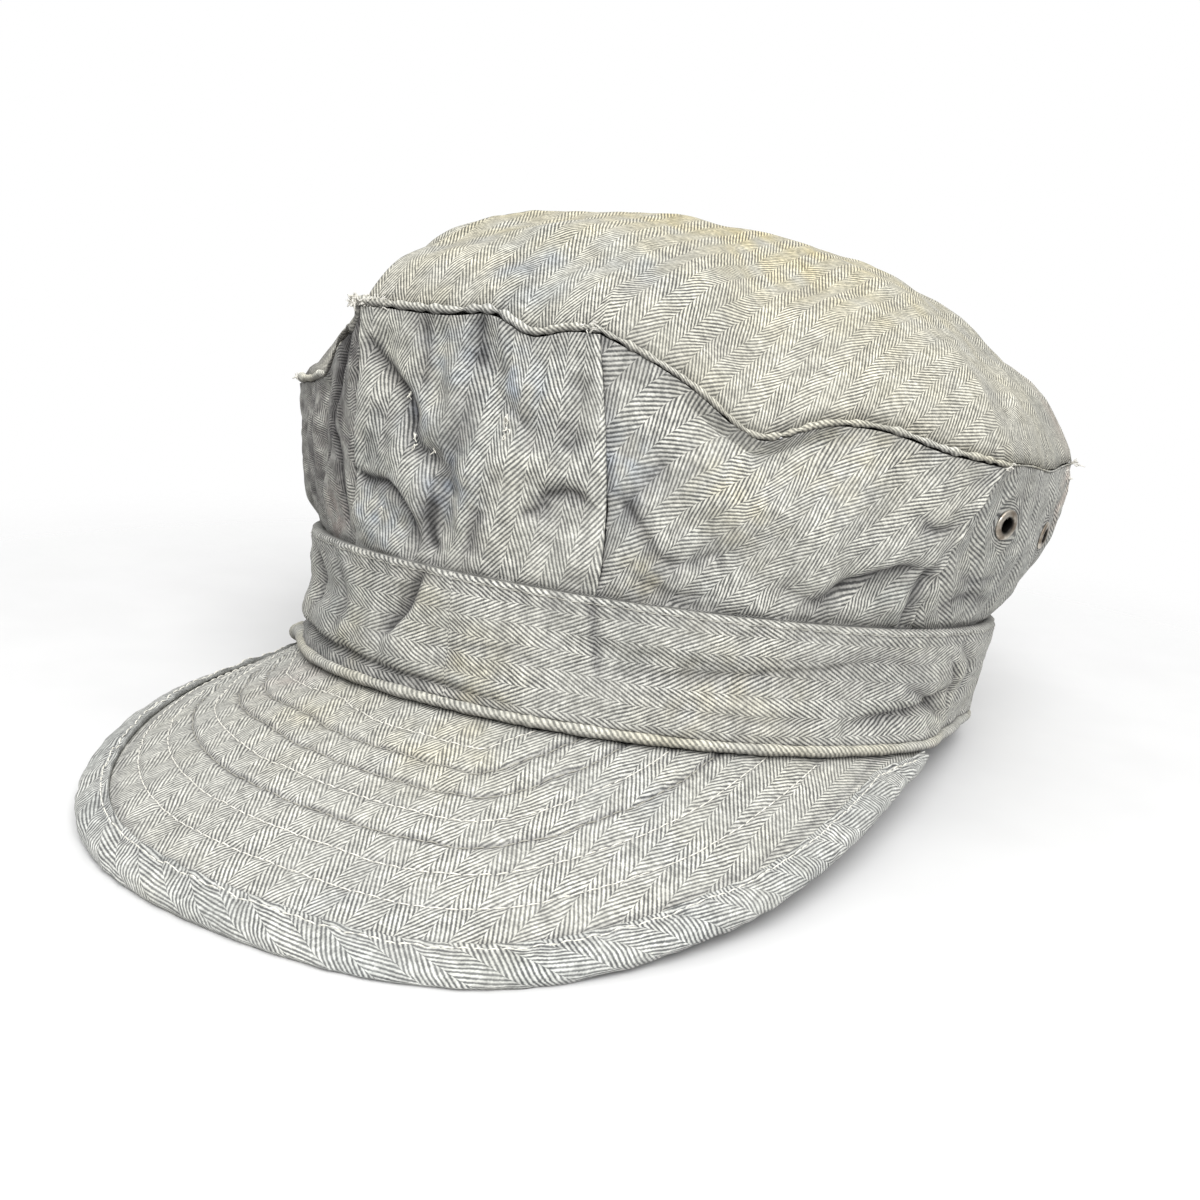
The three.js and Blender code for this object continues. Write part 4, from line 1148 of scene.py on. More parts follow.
# Eyelet: a rounded flange on each face of the cloth and a barrel between, turned about its middle
def makeEyelet(name, number, at, high, lean):
    centre, along, upward, facing, _ = eyeletFrame(name, at, high, lean)
    reach = cloth["crown"] / 2 + 0.1
    turn = np.linspace(0, pi, 9)
    middle = (eyelets["bore"] + eyelets["flange"]) / 2
    half = (eyelets["flange"] - eyelets["bore"]) / 2
    flangeR, flangeZ = middle + half * np.cos(turn), reach + eyelets["lip"] * np.sin(turn)
    radius = np.concatenate([[eyelets["barrel"]], flangeR, flangeR[::-1], [eyelets["barrel"]]])
    depth = np.concatenate([[reach], flangeZ, -flangeZ[::-1], [-reach]])
    turns = np.linspace(0, 2 * pi, eyelets["sides"], endpoint=False)[:, None]
    radius, depth = radius[None, :], depth[None, :]
    points = centre + roundCircle(turns, along, upward) * radius[..., None] + facing * depth[..., None]
    weave = np.zeros((eyelets["sides"] + 1, radius.shape[1] + 1, 2))
    # painted shade: the inside of the barrel is drawn nearly black
    inside = ease(radius, middle - 0.9 * half, middle - 0.1 * half) + 0 * turns
    cast = np.repeat((0.02 + 0.98 * inside)[..., None], 3, axis=-1)
    faces = [sweptFaces(eyelets["sides"], radius.shape[1], True, True)]
    side = name.split("_")[0]
    makePiece(f"{side}_eyelet_ring_{number}", points, faces, weave, cast, brass,
              [f"{side}_eyelet_{number}"])


# Top of the crown
topLook = {
    "spacing": 1.25, "rows": 100, "innerRows": 16, "waves": 0.5, "wrinkles": 0.07, "gathers": 0.22,
    "scale": 1.05, "depth": 90.0, "edgeShade": 0.16, "warmth": 0.35,
}
# Stains of the top: x, y, half width, shade and amount; the dark ones over the front of the wearer's right
# are painted shade
topStains = [
    (8, -94, 13, "blue", 0.6), (26, -84, 9, "blue", 0.4), (-10, -80, 10, "grey", 0.4),
    (60, -50, 16, "warm", 0.4), (86, 16, 12, "grey", 0.7), (20, -40, 22, "warm", 0.3),
    (-40, -40, 20, "grey", 0.3), (30, 50, 22, "grey", 0.3), (-60, 40, 20, "grey", 0.3),
    (-62, -76, 9, "dark", 1), (-84, -54, 15, "dark", 1.2), (12, -102, 8, "grey", 0.7),
    (88, 38, 9, "rosy", 0.8), (-14, -60, 34, "warm", 1), (20, -30, 34, "warm", 0.9),
    (50, -10, 40, "warm", 0.6), (-26, -84, 12, "grey", 0.3),
]


# The top is swept round the crown's edge: each section runs from the inner apex out to the edge and
# back over the outer face, and triangles close the two apexes
def makeTop():
    point, out, _, size = edgeStations(topLook["spacing"])
    count = len(point)
    share = np.broadcast_to(np.linspace(1, 0, topLook["rows"])[:-1], (count, topLook["rows"] - 1))
    plain = topPoint(point[:, None], out[:, None], share, size[:, None])
    apex = topPoint(point[:1], out[:1], np.zeros(1), size[:1])
    normals = gridNormals(plain, True)
    x, y = plain[..., 0], plain[..., 1]
    height, dark = creased(x, y, topCreases)
    fromEdge = (1 - share) * topLook["depth"]
    calm = ease(fromEdge, 0, 8)
    height = height * calm + topLook["waves"] * ripples(plain, 24.0, 31) * calm
    height += topLook["wrinkles"] * ripples(plain, 5.5, 32) * (0.3 + 0.7 * calm)
    around = np.linspace(0, 2 * pi, count, endpoint=False)[:, None]
    loop = pointsOf(100 * np.cos(around), 100 * np.sin(around), 0.0)
    height += topLook["gathers"] * ripples(loop, 6.0, 33) * np.exp(-fromEdge / 3.0)
    height *= ease(share, 0.0, 0.1)
    # painted shade along the top's edge behind the ridge, left out where the ridge is worn flat
    wornEdge = ease(x, 88, 93) * (y > -38)
    dark += topLook["edgeShade"] * np.exp(-fromEdge / 1.4) * (1 - wornEdge)
    outer = plain + normals * height[..., None]
    inner = plain + sunk(normals, height) - normals * cloth["crown"]
    rows = np.unique(np.linspace(0, topLook["rows"] - 2, topLook["innerRows"]).astype(int))[::-1]
    # the weave spreads evenly from the apex: its radius is the distance over the cloth
    run = runOf(plain)
    run = run[:, -1:] - run + np.linalg.norm(plain[:, -1] - apex, axis=-1)[:, None]
    turn = np.arctan2(x, -(y - crown["apexY"]))
    weave = np.stack([run * np.sin(turn), -run * np.cos(turn)], axis=-1)
    stains = patchesOf(plain, x, y, topStains, 1, 1, 0.5, 8.0, 41)
    stains.append(("warm", np.full(x.shape, topLook["warmth"])))
    cast = stained(castOf(height, dark, 3, True), stains)
    innerCast = np.full((count, len(rows), 3), insideShade)
    points = np.concatenate([inner[:, rows], outer], axis=1)
    weaves = np.concatenate([weave[:, rows], weave], axis=1)
    weaves = np.concatenate([weaves, weaves[:1]])
    colours = np.concatenate([innerCast, cast], axis=1)
    places = points.shape[1]
    tip, weaveTip = count * places, (count + 1) * places
    here = np.arange(count)
    after = (here + 1) % count
    faceSets = [sweptFaces(count, places, True, False)]
    for end, tipNumber in ((0, tip), (places - 1, tip + 1)):
        fan = np.stack([np.full(count, tipNumber), after * places + end, here * places + end], 1)
        fanWeave = np.stack([np.full(count, weaveTip), (here + 1) * places + end, here * places + end], 1)
        flip = slice(None) if end == 0 else slice(None, None, -1)
        faceSets.append((fan[:, flip], fanWeave[:, flip]))
    allPoints = np.concatenate([points.reshape(-1, 3), apex - (0, 0, cloth["crown"]), apex])
    allWeave = np.concatenate([weaves.reshape(-1, 2), [(0, 0)]]) * topLook["scale"]
    allColours = np.concatenate([colours.reshape(-1, 3), np.ones((2, 3))])
    makePiece("crown_top_twill", allPoints, faceSets, allWeave, allColours, crownTwill,
              ["crown_top"])


# Round rolls of cloth: the ridge round the crown's edge and the piping along the band's lower edge.
# Their twill runs round them in fine slanting ribs, and their girth is a little uneven. Where the
# piping swells and drops is given as angle, half width in degrees and amount.
rolls = {
    "spacing": 0.55, "bandColumns": 1100, "sides": 14, "girth": 3.3, "crownStretch": 1.5,
    "bandStretch": 1.3, "crownUneven": 0.12, "bandUneven": 0.05, "piping": 1.2, "pipingOut": 0.9,
    # under is the painted shade under each roll, hidden the painted shade on the crown's ridge at the front
    # corner on the wearer's right, and rubbed its wear behind that
    "under": 0.5, "warmth": 0.3, "hidden": 0.45, "rubbed": 0.3,
    "swell": (-62, 9, 5.8), "shelf": (-34, 24, 1.6), "thicker": (-60, 14, 0.9), "drop": (-64, 12, 2.0),
}


# A roll is a circle carried along a closed path, and its radius wavers slowly and quickly along it.
# Painted shade darkens its underside, and painted highlight and wear pale its upper side.
def makeRoll(name, centre, out, up, radius, stretch, uneven, node, seed, highlightAndWear, shade=1.0):
    along = runOf(np.concatenate([centre, centre[:1]]))[:, None] * stretch
    turn = np.linspace(0, 2 * pi, rolls["sides"], endpoint=False)[None, :]
    slow = ripples(centre, 11.0, seed)[:, None]
    quick = ripples(centre, 2.6, seed + 1)[:, None]
    lumpy = (0.7 + 1.4 * ease(0.9 - radius, 0, 0.2))[:, None]
    size = radius[:, None] * (1 + uneven * (slow + lumpy * quick))
    points = centre[:, None] + size[..., None] * roundCircle(turn, out[:, None], up[:, None])
    places = rolls["sides"]
    girth = 0.4 + rolls["girth"] * np.linspace(0, 1, places + 1)[None, :]
    weave = np.stack(np.broadcast_arrays(girth, along), axis=-1)
    dark = rolls["under"] * np.clip(-np.sin(turn - 0.2), 0, 1)
    pale = highlightAndWear * np.clip(np.sin(turn + 0.5), 0, 1) * (1 + 0.3 * slow + 0.3 * quick)
    value = np.clip((1 - dark + pale) * np.reshape(shade, (-1, 1)), 0.3, 1.6)
    warm = rolls["warmth"] * (1 + ripples(centre, 30.0, seed + 2)[:, None]) + 0 * turn
    cast = stained(value, [("warm", warm)])
    faces = [sweptFaces(len(centre), places, True, True)]
    makePiece(name, points, faces, weave, cast, rollTwill, [node])


# The ridge gets painted shade from the top at the front corner on the wearer's right, and is rubbed
# pale behind it
def makeCrownWelt():
    point, out, stretch, size = edgeStations(rolls["spacing"])
    up = pointsOf(0, 0, stretch)
    raised = point + up * (0.15 * size ** 2)[:, None]
    x, y = point[:, 0], point[:, 1]
    hidden = ease(-x, 30, 34) * ease(x, -52, -46) * (y < 0)
    rubbed = ease(-x, 46, 52) * (y < -20)
    shade = 1 - rolls["hidden"] * hidden + rolls["rubbed"] * rubbed
    makeRoll("crown_welt_roll", raised, unit(out), up, size, rolls["crownStretch"], rolls["crownUneven"],
             "crown_welt", 51, 0.1, shade)


# A soft bump round the piping at one of those places
def pipingBulge(degrees, kind):
    at, half, amount = rolls[kind]
    return amount * bell(wrapped(degrees) - at, half)


# The piping stands out from the band over the wearer's right, most where the peak begins, and it lies
# lower there, on the peak
def pipingSwell(degrees):
    return pipingBulge(degrees, "swell") + pipingBulge(degrees, "shelf")


def pipingDrop(degrees):
    return 0.8 * tan(peakSlope) * pipingSwell(degrees) + pipingBulge(degrees, "drop")


def makeBandWelt():
    degrees = np.linspace(0, 360, rolls["bandColumns"], endpoint=False)
    radius = rolls["piping"] * (1 + pipingBulge(degrees, "thicker"))
    inset = radius - rolls["pipingOut"] - pipingSwell(degrees) + 0.9 * bandDent(degrees, 1.0)
    centre = ovalPoint(degrees, 0.0, inset)
    centre[:, 2] = radius - pipingDrop(degrees)
    makeRoll("band_welt_roll", centre, ovalNormal(degrees), pointsOf(0 * degrees, 0, 1), radius,
             rolls["bandStretch"], rolls["bandUneven"], "band_welt", 61, 0.06)


# Band: a wall of cloth with a folded top edge, a stitched line under it, creases and gathers
bandLook = {
    "columns": 800, "rows": 66, "innerRows": 6, "hem": 2.6, "stitchDepth": 1.5, "waves": 0.32,
    "wrinkles": 0.08, "hemRise": 0.35, "stitchGroove": 0.34, "rimDrop": 0.5, "footDrop": 0.4,
    "rimGathers": 0.24, "footGathers": 0.26, "tone": 0.95,
    # how much darker it is, as painted shade, along its stitches, under the hem, at rim and foot and
    # over the piping
    "shade": {"stitches": 0.22, "hem": 0.14, "rim": 0.04, "foot": 0.36, "shelf": 0.3},
}
bandStains = [
    (-24, 14, 12, "grey", 0.9), (5, 8, 10, "warm", 0.5), (-6, 22, 6, "warm", 0.5),
    (40, 8, 16, "warm", 0.4), (70, 16, 14, "grey", 0.25), (-60, 15, 30, "grey", 0.9),
    (25, 22, 9, "grey", 0.5), (95, 15, 12, "grey", 0.1), (-20, 9, 6, "warm", 0.6),
    (-30, 4.5, 9, "grey", 0.6), (-10, 4.5, 8, "grey", 0.5), (-56, 7.5, 5, "dark", 1),
    (-52, 22, 9, "dark", 0.5), (-28, 22, 9, "grey", 0.6),
]


def makeBand():
    foot = 1.9 * rolls["piping"]
    degreeLine = np.linspace(0, 360, bandLook["columns"], endpoint=False)
    heightLine = np.linspace(foot, band["height"], bandLook["rows"])
    degrees, level = np.meshgrid(degreeLine, heightLine, indexing="ij")
    up, down = level - foot, band["height"] - level
    nearFoot = np.exp(-up / 2.0)
    tuck = pipingSwell(degrees) * nearFoot
    fall = pipingDrop(degrees) * nearFoot
    plain = ovalPoint(degrees, level, bandDent(degrees, level) - tuck) - pointsOf(0, 0, fall)
    # angles from -130 to 230, so that no crease is cut in two
    side = wrapped(degrees - 50) + 50
    height, dark = creased(side * mmPerDegree, level, bandCreases, mmPerDegree, 1.0)
    soft = bandLook["waves"] * ripples(plain, 17.0, 71) + bandLook["wrinkles"] * ripples(plain, 4.2, 72)
    height += soft * (0.3 + 0.7 * ease(down, 0, 5) * ease(up, 0, 4))
    gathers = ripples(plain * (1, 1, 0), 5.5, 73)
    stitches = down - bandLook["stitchDepth"]
    height += bandLook["rimGathers"] * gathers * bell(stitches, 2.4) * ease(down, 0, 1.2)
    height += bandLook["footGathers"] * gathers * np.exp(-up / 2.6) * ease(up, 0, 0.6)
    height += bandLook["hemRise"] * ease(bandLook["hem"] - down, 0, 0.9) * ease(down, -0.2, 0.8)
    height -= bandLook["stitchGroove"] * bell(stitches, 0.5)
    height -= bandLook["rimDrop"] * bell(down, 0.35) + bandLook["footDrop"] * np.exp(-up / 0.7)
    shade = bandLook["shade"]
    dark += shade["stitches"] * bell(stitches, 0.5)
    dark += shade["hem"] * bell(down - bandLook["hem"] - 0.4, 0.5)
    dark += shade["rim"] * bell(down - 0.3, 0.55) + shade["foot"] * np.exp(-up / 0.8)
    dark += shade["shelf"] * bell(side + 42, 22) * np.exp(-up / 2.2)
    normals = gridNormals(plain, True)
    outer = plain + normals * height[..., None]
    rows = np.unique(np.linspace(0, bandLook["rows"] - 1, bandLook["innerRows"]).astype(int))
    inner = ovalPoint(degrees, level, cloth["band"] + bandDent(degrees, level) - tuck)
    inner = (inner - pointsOf(0, 0, fall) + sunk(normals, height))[:, rows]
    stains = patchesOf(plain, side, level, bandStains, mmPerDegree, 1, 0.5, 7.0, 81)
    cast = stained(bandLook["tone"] * castOf(height, dark, 4, True), stains)
    run = np.linspace(0, 360 * mmPerDegree, bandLook["columns"] + 1)[:, None]
    weave = np.stack(np.broadcast_arrays(heightLine, run), axis=-1)
    innerWeave = weave[:, rows] * (-1, 1) + (2 * band["height"] + cloth["band"], 0)
    clothPiece("band_twill", outer, inner, weave, innerWeave, cast, True, bandTwill, ["band"])
    row = np.searchsorted(heightLine, band["height"] - bandLook["stitchDepth"])
    path = np.concatenate([outer[:, row], outer[:1, row]])
    facing = np.concatenate([normals[:, row], normals[:1, row]])
    makeThreads("band_stitching", [stitchTubes(path, facing, 75, 2.2, 2.7, 0.2)], paleThread)


# Peak: rows of stitching follow its bound edge inwards. Each row draws the cloth down into a groove
# with small gathers on both sides.
peakLook = {
    "columns": 300, "rows": 120, "groove": 0.4, "grooveHalf": 0.75, "gathers": 0.13, "waves": 0.15,
    "wrinkles": 0.06, "droop": 5.6, "scale": 0.93, "mmPerDegree": 1.9,
    # how deep a row of each thread draws the cloth in, and how dark the painted shade in its groove and
    # on its gathers is
    "white": (0.75, 0.14, 0.0), "dull": (1.3, 0.36, 0.16),
    # painted shade under the band and beside the binding
    "shade": {"underBand": 0.22, "atBinding": 0.25},
}

# Rows of stitching: distance from the peak's edge and thread
stitchRows = [
    (18.0, "white"), (27.0, "white"), (34.7, "dull"), (42.2, "white"), (49.8, "dull"), (57.6, "dull"),
    (65.0, "white"),
]
peakStains = [
    (4, 12, 14, "warm", 0.5), (-16, 12, 14, "warm", 0.5), (30, 20, 16, "blue", 0.2),
    (-40, 20, 16, "grey", 0.25), (14, 5, 10, "grey", 0.4), (40, 30, 14, "grey", 0.3),
    (10, 62, 14, "blue", 0.2), (-30, 8, 12, "rosy", 0.5),
]

# The rows crowd together over the wearer's right: by angle, their distance from the edge as a share of
# what it is in front
rowCrowding = np.array([
    (-78, 0.25), (-42, 0.43), (-34, 0.53), (-28, 0.65), (-21, 0.8), (-16, 0.89), (-10, 0.955),
    (0, 0.97), (78, 0.98),
])


# The peak hangs a little lower over the wearer's right, more so towards its edge
def droopedPeak(degrees, out, depth):
    place = peakPoint(degrees, out, depth)
    place[..., 2] -= peakLook["droop"] * ease(-degrees, 42, 63) * out / peakReach(degrees)
    return place


# Distance of places on the peak from the nearest of many points along its edge
def fromPeakEdge(degrees, out):
    rim = np.linspace(-peakEnd, peakEnd, 240)
    edge = peakPoint(rim, peakReach(rim), 0.0)
    place = peakPoint(degrees, out, 0.0)
    best = np.full(degrees.shape, 1e9)
    for point in edge:
        best = np.minimum(best, np.linalg.norm(place - point, axis=-1))
    return best


def makePeak():
    fold = cloth["binding"] + cloth["gap"]
    degreeLine = np.linspace(-peakEnd, peakEnd, peakLook["columns"])
    degrees, share = np.meshgrid(degreeLine, np.linspace(1, 0, peakLook["rows"]), indexing="ij")
    out = (peakReach(degrees) - fold) * share
    plain = droopedPeak(degrees, out, 0.0)
    inset = fromPeakEdge(degrees, out)
    height = peakLook["waves"] * ripples(plain, 22.0, 91) * ease(out, 0, 8) * ease(inset, 6, 14)
    height += peakLook["wrinkles"] * ripples(plain, 4.0, 92) * ease(out, 0, 3)
    dark = np.zeros(degrees.shape)
    gathers = ripples(plain * (1, 1, 0), 4.8, 93, 20)
    rowInset = inset / np.interp(degrees, *rowCrowding.T)
    for at, thread in stitchRows:
        away = rowInset - at
        deep, grooveDark, gatherDark = peakLook[thread]
        height -= deep * peakLook["groove"] * bell(away, peakLook["grooveHalf"])
        height += deep * peakLook["gathers"] * gathers * bell(away, 2.6)
        dark += (grooveDark + gatherDark * gathers) * bell(away, 0.8)
    height = height * ease(inset, 8.5, 10.5)
    shade = peakLook["shade"]
    dark += shade["underBand"] * np.exp(-out / 1.6) + shade["atBinding"] * bell(inset - 8.6, 0.9)
    normals = gridNormals(plain)
    outer = plain + normals * height[..., None]
    inner = droopedPeak(degrees, out, cloth["peak"]) + sunk(normals, height)
    weave = np.stack([plain[..., 0], plain[..., 1] / cos(peakSlope)], axis=-1) * peakLook["scale"]
    stains = patchesOf(plain, degrees, out, peakStains, peakLook["mmPerDegree"], 1, 0.4, 9.0, 95)
    cast = stained(castOf(height, dark, 4), stains)
    clothPiece("peak_twill", outer, inner, weave, weave, cast, False, peakTwill, ["peak"])
    return rowInset, outer


# Binding: a bias strip folded over the peak's edge and sewn down along its inner side
bindingLook = {
    "columns": 640, "outerRows": 16, "innerRows": 5, "bend": 0.8, "seam": 1.5, "seamDepth": 0.4,
    "groove": 0.85, "innerGroove": 0.16, "gathers": 0.2, "waves": 0.1, "bias": 57.0, "scale": 0.92,
    "tone": 1.03, "leastForStitches": 3.5,
    # how much darker it is, as painted shade, in its groove, inside its stitches and below, and how much
    # paler where negative: at its lip, along its stitches, and at its fold with painted highlight and wear
    "shade": {
        "groove": 0.34, "lip": -0.1, "inside": 0.24, "stitches": -0.12, "fold": -0.12, "below": 0.3,
    },
}


def makeBinding():
    degreeLine = np.linspace(binding["endAngle"], -binding["endAngle"], bindingLook["columns"])
    degrees = degreeLine[:, None]
    reach = peakReach(degrees)
    lip = reach - np.minimum(binding["width"], reach * binding["narrowest"])
    half = cloth["peak"] / 2
    innerFace = half + cloth["gap"]
    outerFace = innerFace + cloth["binding"]
    # one side's rows, as shares of the way from the lip to the fold and heights over the peak's
    # middle: a low sine swell that turns round the edge as a quarter of an ellipse
    share = np.linspace(0, 1, bindingLook["outerRows"])[None, :]
    bend = np.maximum(0, share - bindingLook["bend"]) / (1 - bindingLook["bend"])
    swell = binding["bulge"] / 2 * np.sin(pi * np.minimum(1, share / 0.9)) ** 0.7
    topOut = lip + (reach - lip) * share
    topHigh = np.broadcast_to((outerFace + swell) * np.sqrt(np.maximum(0, 1 - bend**2)), topOut.shape)
    innerOut = lip + (reach - cloth["binding"] - lip) * np.linspace(0, 1, bindingLook["innerRows"])[None, :]
    flat = np.full(innerOut.shape, innerFace)
    foldedOut = np.concatenate([topOut, topOut[:, ::-1][:, 1:], innerOut, innerOut[:, ::-1]], axis=1)
    foldedDepth = np.concatenate([-topHigh, topHigh[:, ::-1][:, 1:], flat, -flat], axis=1)
    columns, places = foldedOut.shape
    plain = droopedPeak(np.broadcast_to(degrees, foldedOut.shape), foldedOut, half + foldedDepth)
    normals = gridNormals(plain)
    fromLip = foldedOut - lip
    fromGroove = fromLip - bindingLook["groove"]
    fromSeam = fromLip - bindingLook["seam"]
    outside = np.arange(places) < 2 * topOut.shape[1] - 1
    gathers = ripples(plain * (1, 1, 0), 5.0, 111, 20)
    height = bindingLook["gathers"] * gathers * bell(fromSeam, 2.0)
    height += bindingLook["waves"] * ripples(plain, 6.5, 112)
    height -= bindingLook["seamDepth"] * bell(fromGroove, 0.32)
    height -= bindingLook["innerGroove"] * bell(fromSeam - 0.75, 0.35)
    shade = bindingLook["shade"]
    dark = shade["groove"] * bell(fromGroove, 0.3) + shade["lip"] * bell(fromLip - 0.2, 0.4)
    dark += shade["inside"] * bell(fromSeam - 0.8, 0.4)
    dark += shade["stitches"] * bell(fromSeam, 0.4)
    dark += shade["fold"] * bell(foldedOut - reach, 1.2)
    points = plain + normals * (height * outside)[..., None]
    # painted shade on the binding's underside
    value = np.clip(1 - dark - shade["below"] * (foldedDepth > 0) * outside, 0.3, 1.3)
    stains = [("grey", 0.4 * (1 + ripples(plain, 26.0, 113))), ("blue", np.full(value.shape, 0.25))]
    cast = stained(bindingLook["tone"] * value, stains)
    spine = droopedPeak(degreeLine, peakReach(degreeLine), 0.0)
    weave = turnedWeave(runOf(spine)[:, None], runOf(plain), -bindingLook["bias"])
    weave = np.concatenate([weave, weave[:, :1]], axis=1) * bindingLook["scale"]
    ends = bindingEnds(columns, places, topOut.shape[1], innerOut.shape[1])
    faceSets = [sweptFaces(columns, places, False, True), ends]
    makePiece("peak_binding_strip", points, faceSets, weave, cast, peakTwill, ["peak_binding"])
    wideEnough = (reach - lip)[:, 0] > bindingLook["leastForStitches"]
    upper = (wideEnough, slice(0, topOut.shape[1]))
    path, facing = levelPath(fromLip[upper], bindingLook["seam"], points[upper], normals[upper])
    makeThreads("binding_stitching", [stitchTubes(path, facing, 121, 2.2, 2.6)], whiteThread)


# Faces that close the binding's two ends. The strip's section is a U, so triangles fan between the
# outer and the inner line of each leg, and one more closes its bend.
def bindingEnds(columns, places, outerCount, innerCount):
    fold = outerCount - 1
    legSteps = innerCount - 1
    outside = np.round(np.linspace(0, fold, innerCount)).astype(int)
    fans = []
    for k in range(legSteps):
        upper0, upper1 = places - 1 - k, places - 2 - k
        lower0, lower1 = 2 * fold + 1 + k, 2 * fold + 2 + k
        strip = np.arange(outside[k], outside[k + 1] + 1)
        mirrored = 2 * fold - strip[::-1]
        fans += [fanned(upper0, strip), [[upper0, strip[-1], upper1]]]
        fans += [fanned(lower1, mirrored), [[lower0, lower1, mirrored[-1]]]]
    first = np.concatenate(fans + [[[fold, 2 * fold + 1 + legSteps, places - 1 - legSteps]]])
    second = first[:, ::-1]
    faces = np.concatenate([first, second + (columns - 1) * places])
    return faces, np.concatenate([first, second + (columns - 1) * (places + 1)])


def fanned(centre, strip):
    return np.stack([np.full(len(strip) - 1, centre), strip[:-1], strip[1:]], 1)


# Threads: many thin tubes at once, each a row of rings round its middle line. Stitches are short tubes
# along a path on the cloth, and loose ends curl away from where they start.
threads = {
    "sides": 6, "rings": 7, "thick": 0.32, "length": 2.6, "pitch": 2.95, "lift": 0.16, "wriggle": 0.16,
}


# A tube is a circle of a few sides round each place of its line, closed at both ends
def makeThreads(name, tubes, material):
    place, side, up, size = (np.concatenate(parts) for parts in zip(*tubes))
    count, rings = size.shape
    sides = threads["sides"]
    turn = np.linspace(0, 2 * pi, sides, endpoint=False)
    ring = roundCircle(turn, side[:, :, None], up[:, :, None])
    points = place[:, :, None] + size[..., None, None] * ring
    one, _ = sweptFaces(rings, sides, False, True)
    start = np.arange(count)[:, None, None] * rings * sides
    faces = (one[None] + start).reshape(-1, 4)
    disc = np.arange(sides)[None]
    ends = np.concatenate([disc + start[:, 0], disc[:, ::-1] + start[:, 0] + (rings - 1) * sides])
    weave = np.zeros((count * rings * sides, 2))
    makePiece(name, points, [(faces, faces), (ends, ends)], weave, None, material)


# Values along a path, read at given lengths of it
def sampled(values, run, at):
    return np.stack([np.interp(at, run, values[:, k]) for k in range(3)], axis=-1)


# Stitches: evenly pitched along the path with small differences, each rising as a parabola and
# thinning towards its ends
def stitchTubes(path, facing, seed, length=threads["length"], pitch=threads["pitch"], thick=threads["thick"]):
    run = runOf(path)
    random = np.random.default_rng(seed)
    count = int(run[-1] / pitch)
    centre = (np.arange(count) + 0.5 + random.uniform(-0.06, 0.06, count)) * pitch
    t = np.linspace(-1, 1, threads["rings"])
    at = centre[:, None] + t * (length / 2) * random.uniform(0.88, 1.08, (count, 1))
    ahead = unit(sampled(path, run, at + 0.2) - sampled(path, run, at - 0.2))
    side = unit(np.cross(ahead, sampled(facing, run, at)))
    up = np.cross(side, ahead)
    place = sampled(path, run, at) + up * (threads["lift"] * (1 - 1.2 * t**2))[:, None]
    size = np.broadcast_to(thick / 2 * np.sqrt(1 - 0.8 * t**2), at.shape)
    return place, side, up, size


# Loose ends: from a start they run out, bend to one side with the square of the way and wriggle
def looseTubes(start, away, count, length, spread, seed, thick=0.3, bend=0.5, scatter=0.4):
    random = np.random.default_rng(seed)
    t = np.linspace(0, 1, threads["rings"])[:, None]
    first = np.asarray(start) + random.normal(0, scatter, (count, 1, 3))
    heading = unit(np.asarray(away, float) + random.normal(0, spread, (count, 1, 3)))
    turned = unit(np.cross(heading, random.normal(size=(count, 1, 3))))
    reach = length * random.uniform(0.5, 1.2, (count, 1, 1))
    wriggle = np.sin(5 * t + random.uniform(0, 6, (count, 1, 1))) * threads["wriggle"]
    place = first + reach * (heading * t + turned * bend * t**2 + np.cross(heading, turned) * wriggle)
    ahead = unit(np.gradient(place, axis=1))
    side = unit(np.cross(ahead, np.array([0.31, 0.52, 0.79])))
    size = np.broadcast_to((thick / 2 * (1 - 0.45 * t**2))[:, 0], (count, threads["rings"]))
    return place, side, np.cross(side, ahead), size


# Where each column of a grid first comes to a value: points and facings there, by linear steps
def levelPath(values, level, points, facing):
    reached = values >= level
    columns = np.nonzero(reached.any(axis=1) & ~reached[:, 0])[0]
    after = np.argmax(reached[columns], axis=1)
    low, high = values[columns, after - 1], values[columns, after]
    t = ((level - low) / (high - low))[:, None]
    place = lerp(points[columns, after - 1], points[columns, after], t)
    return place, facing[columns, after]


def makePeakStitching(inset, outer):
    facing = gridNormals(outer)
    tubes = {"white": [], "dull": []}
    for at, thread in stitchRows:
        place, up = levelPath(inset, at, outer, facing)
        tubes[thread].append(stitchTubes(place, up, int(at)))
    makeThreads("peak_stitching_white", tubes["white"], whiteThread)
    makeThreads("peak_stitching_dull", tubes["dull"], dullThread)


def cornerPlace(number, x, y, z):
    return corners[number, :3] + (x, y, z)


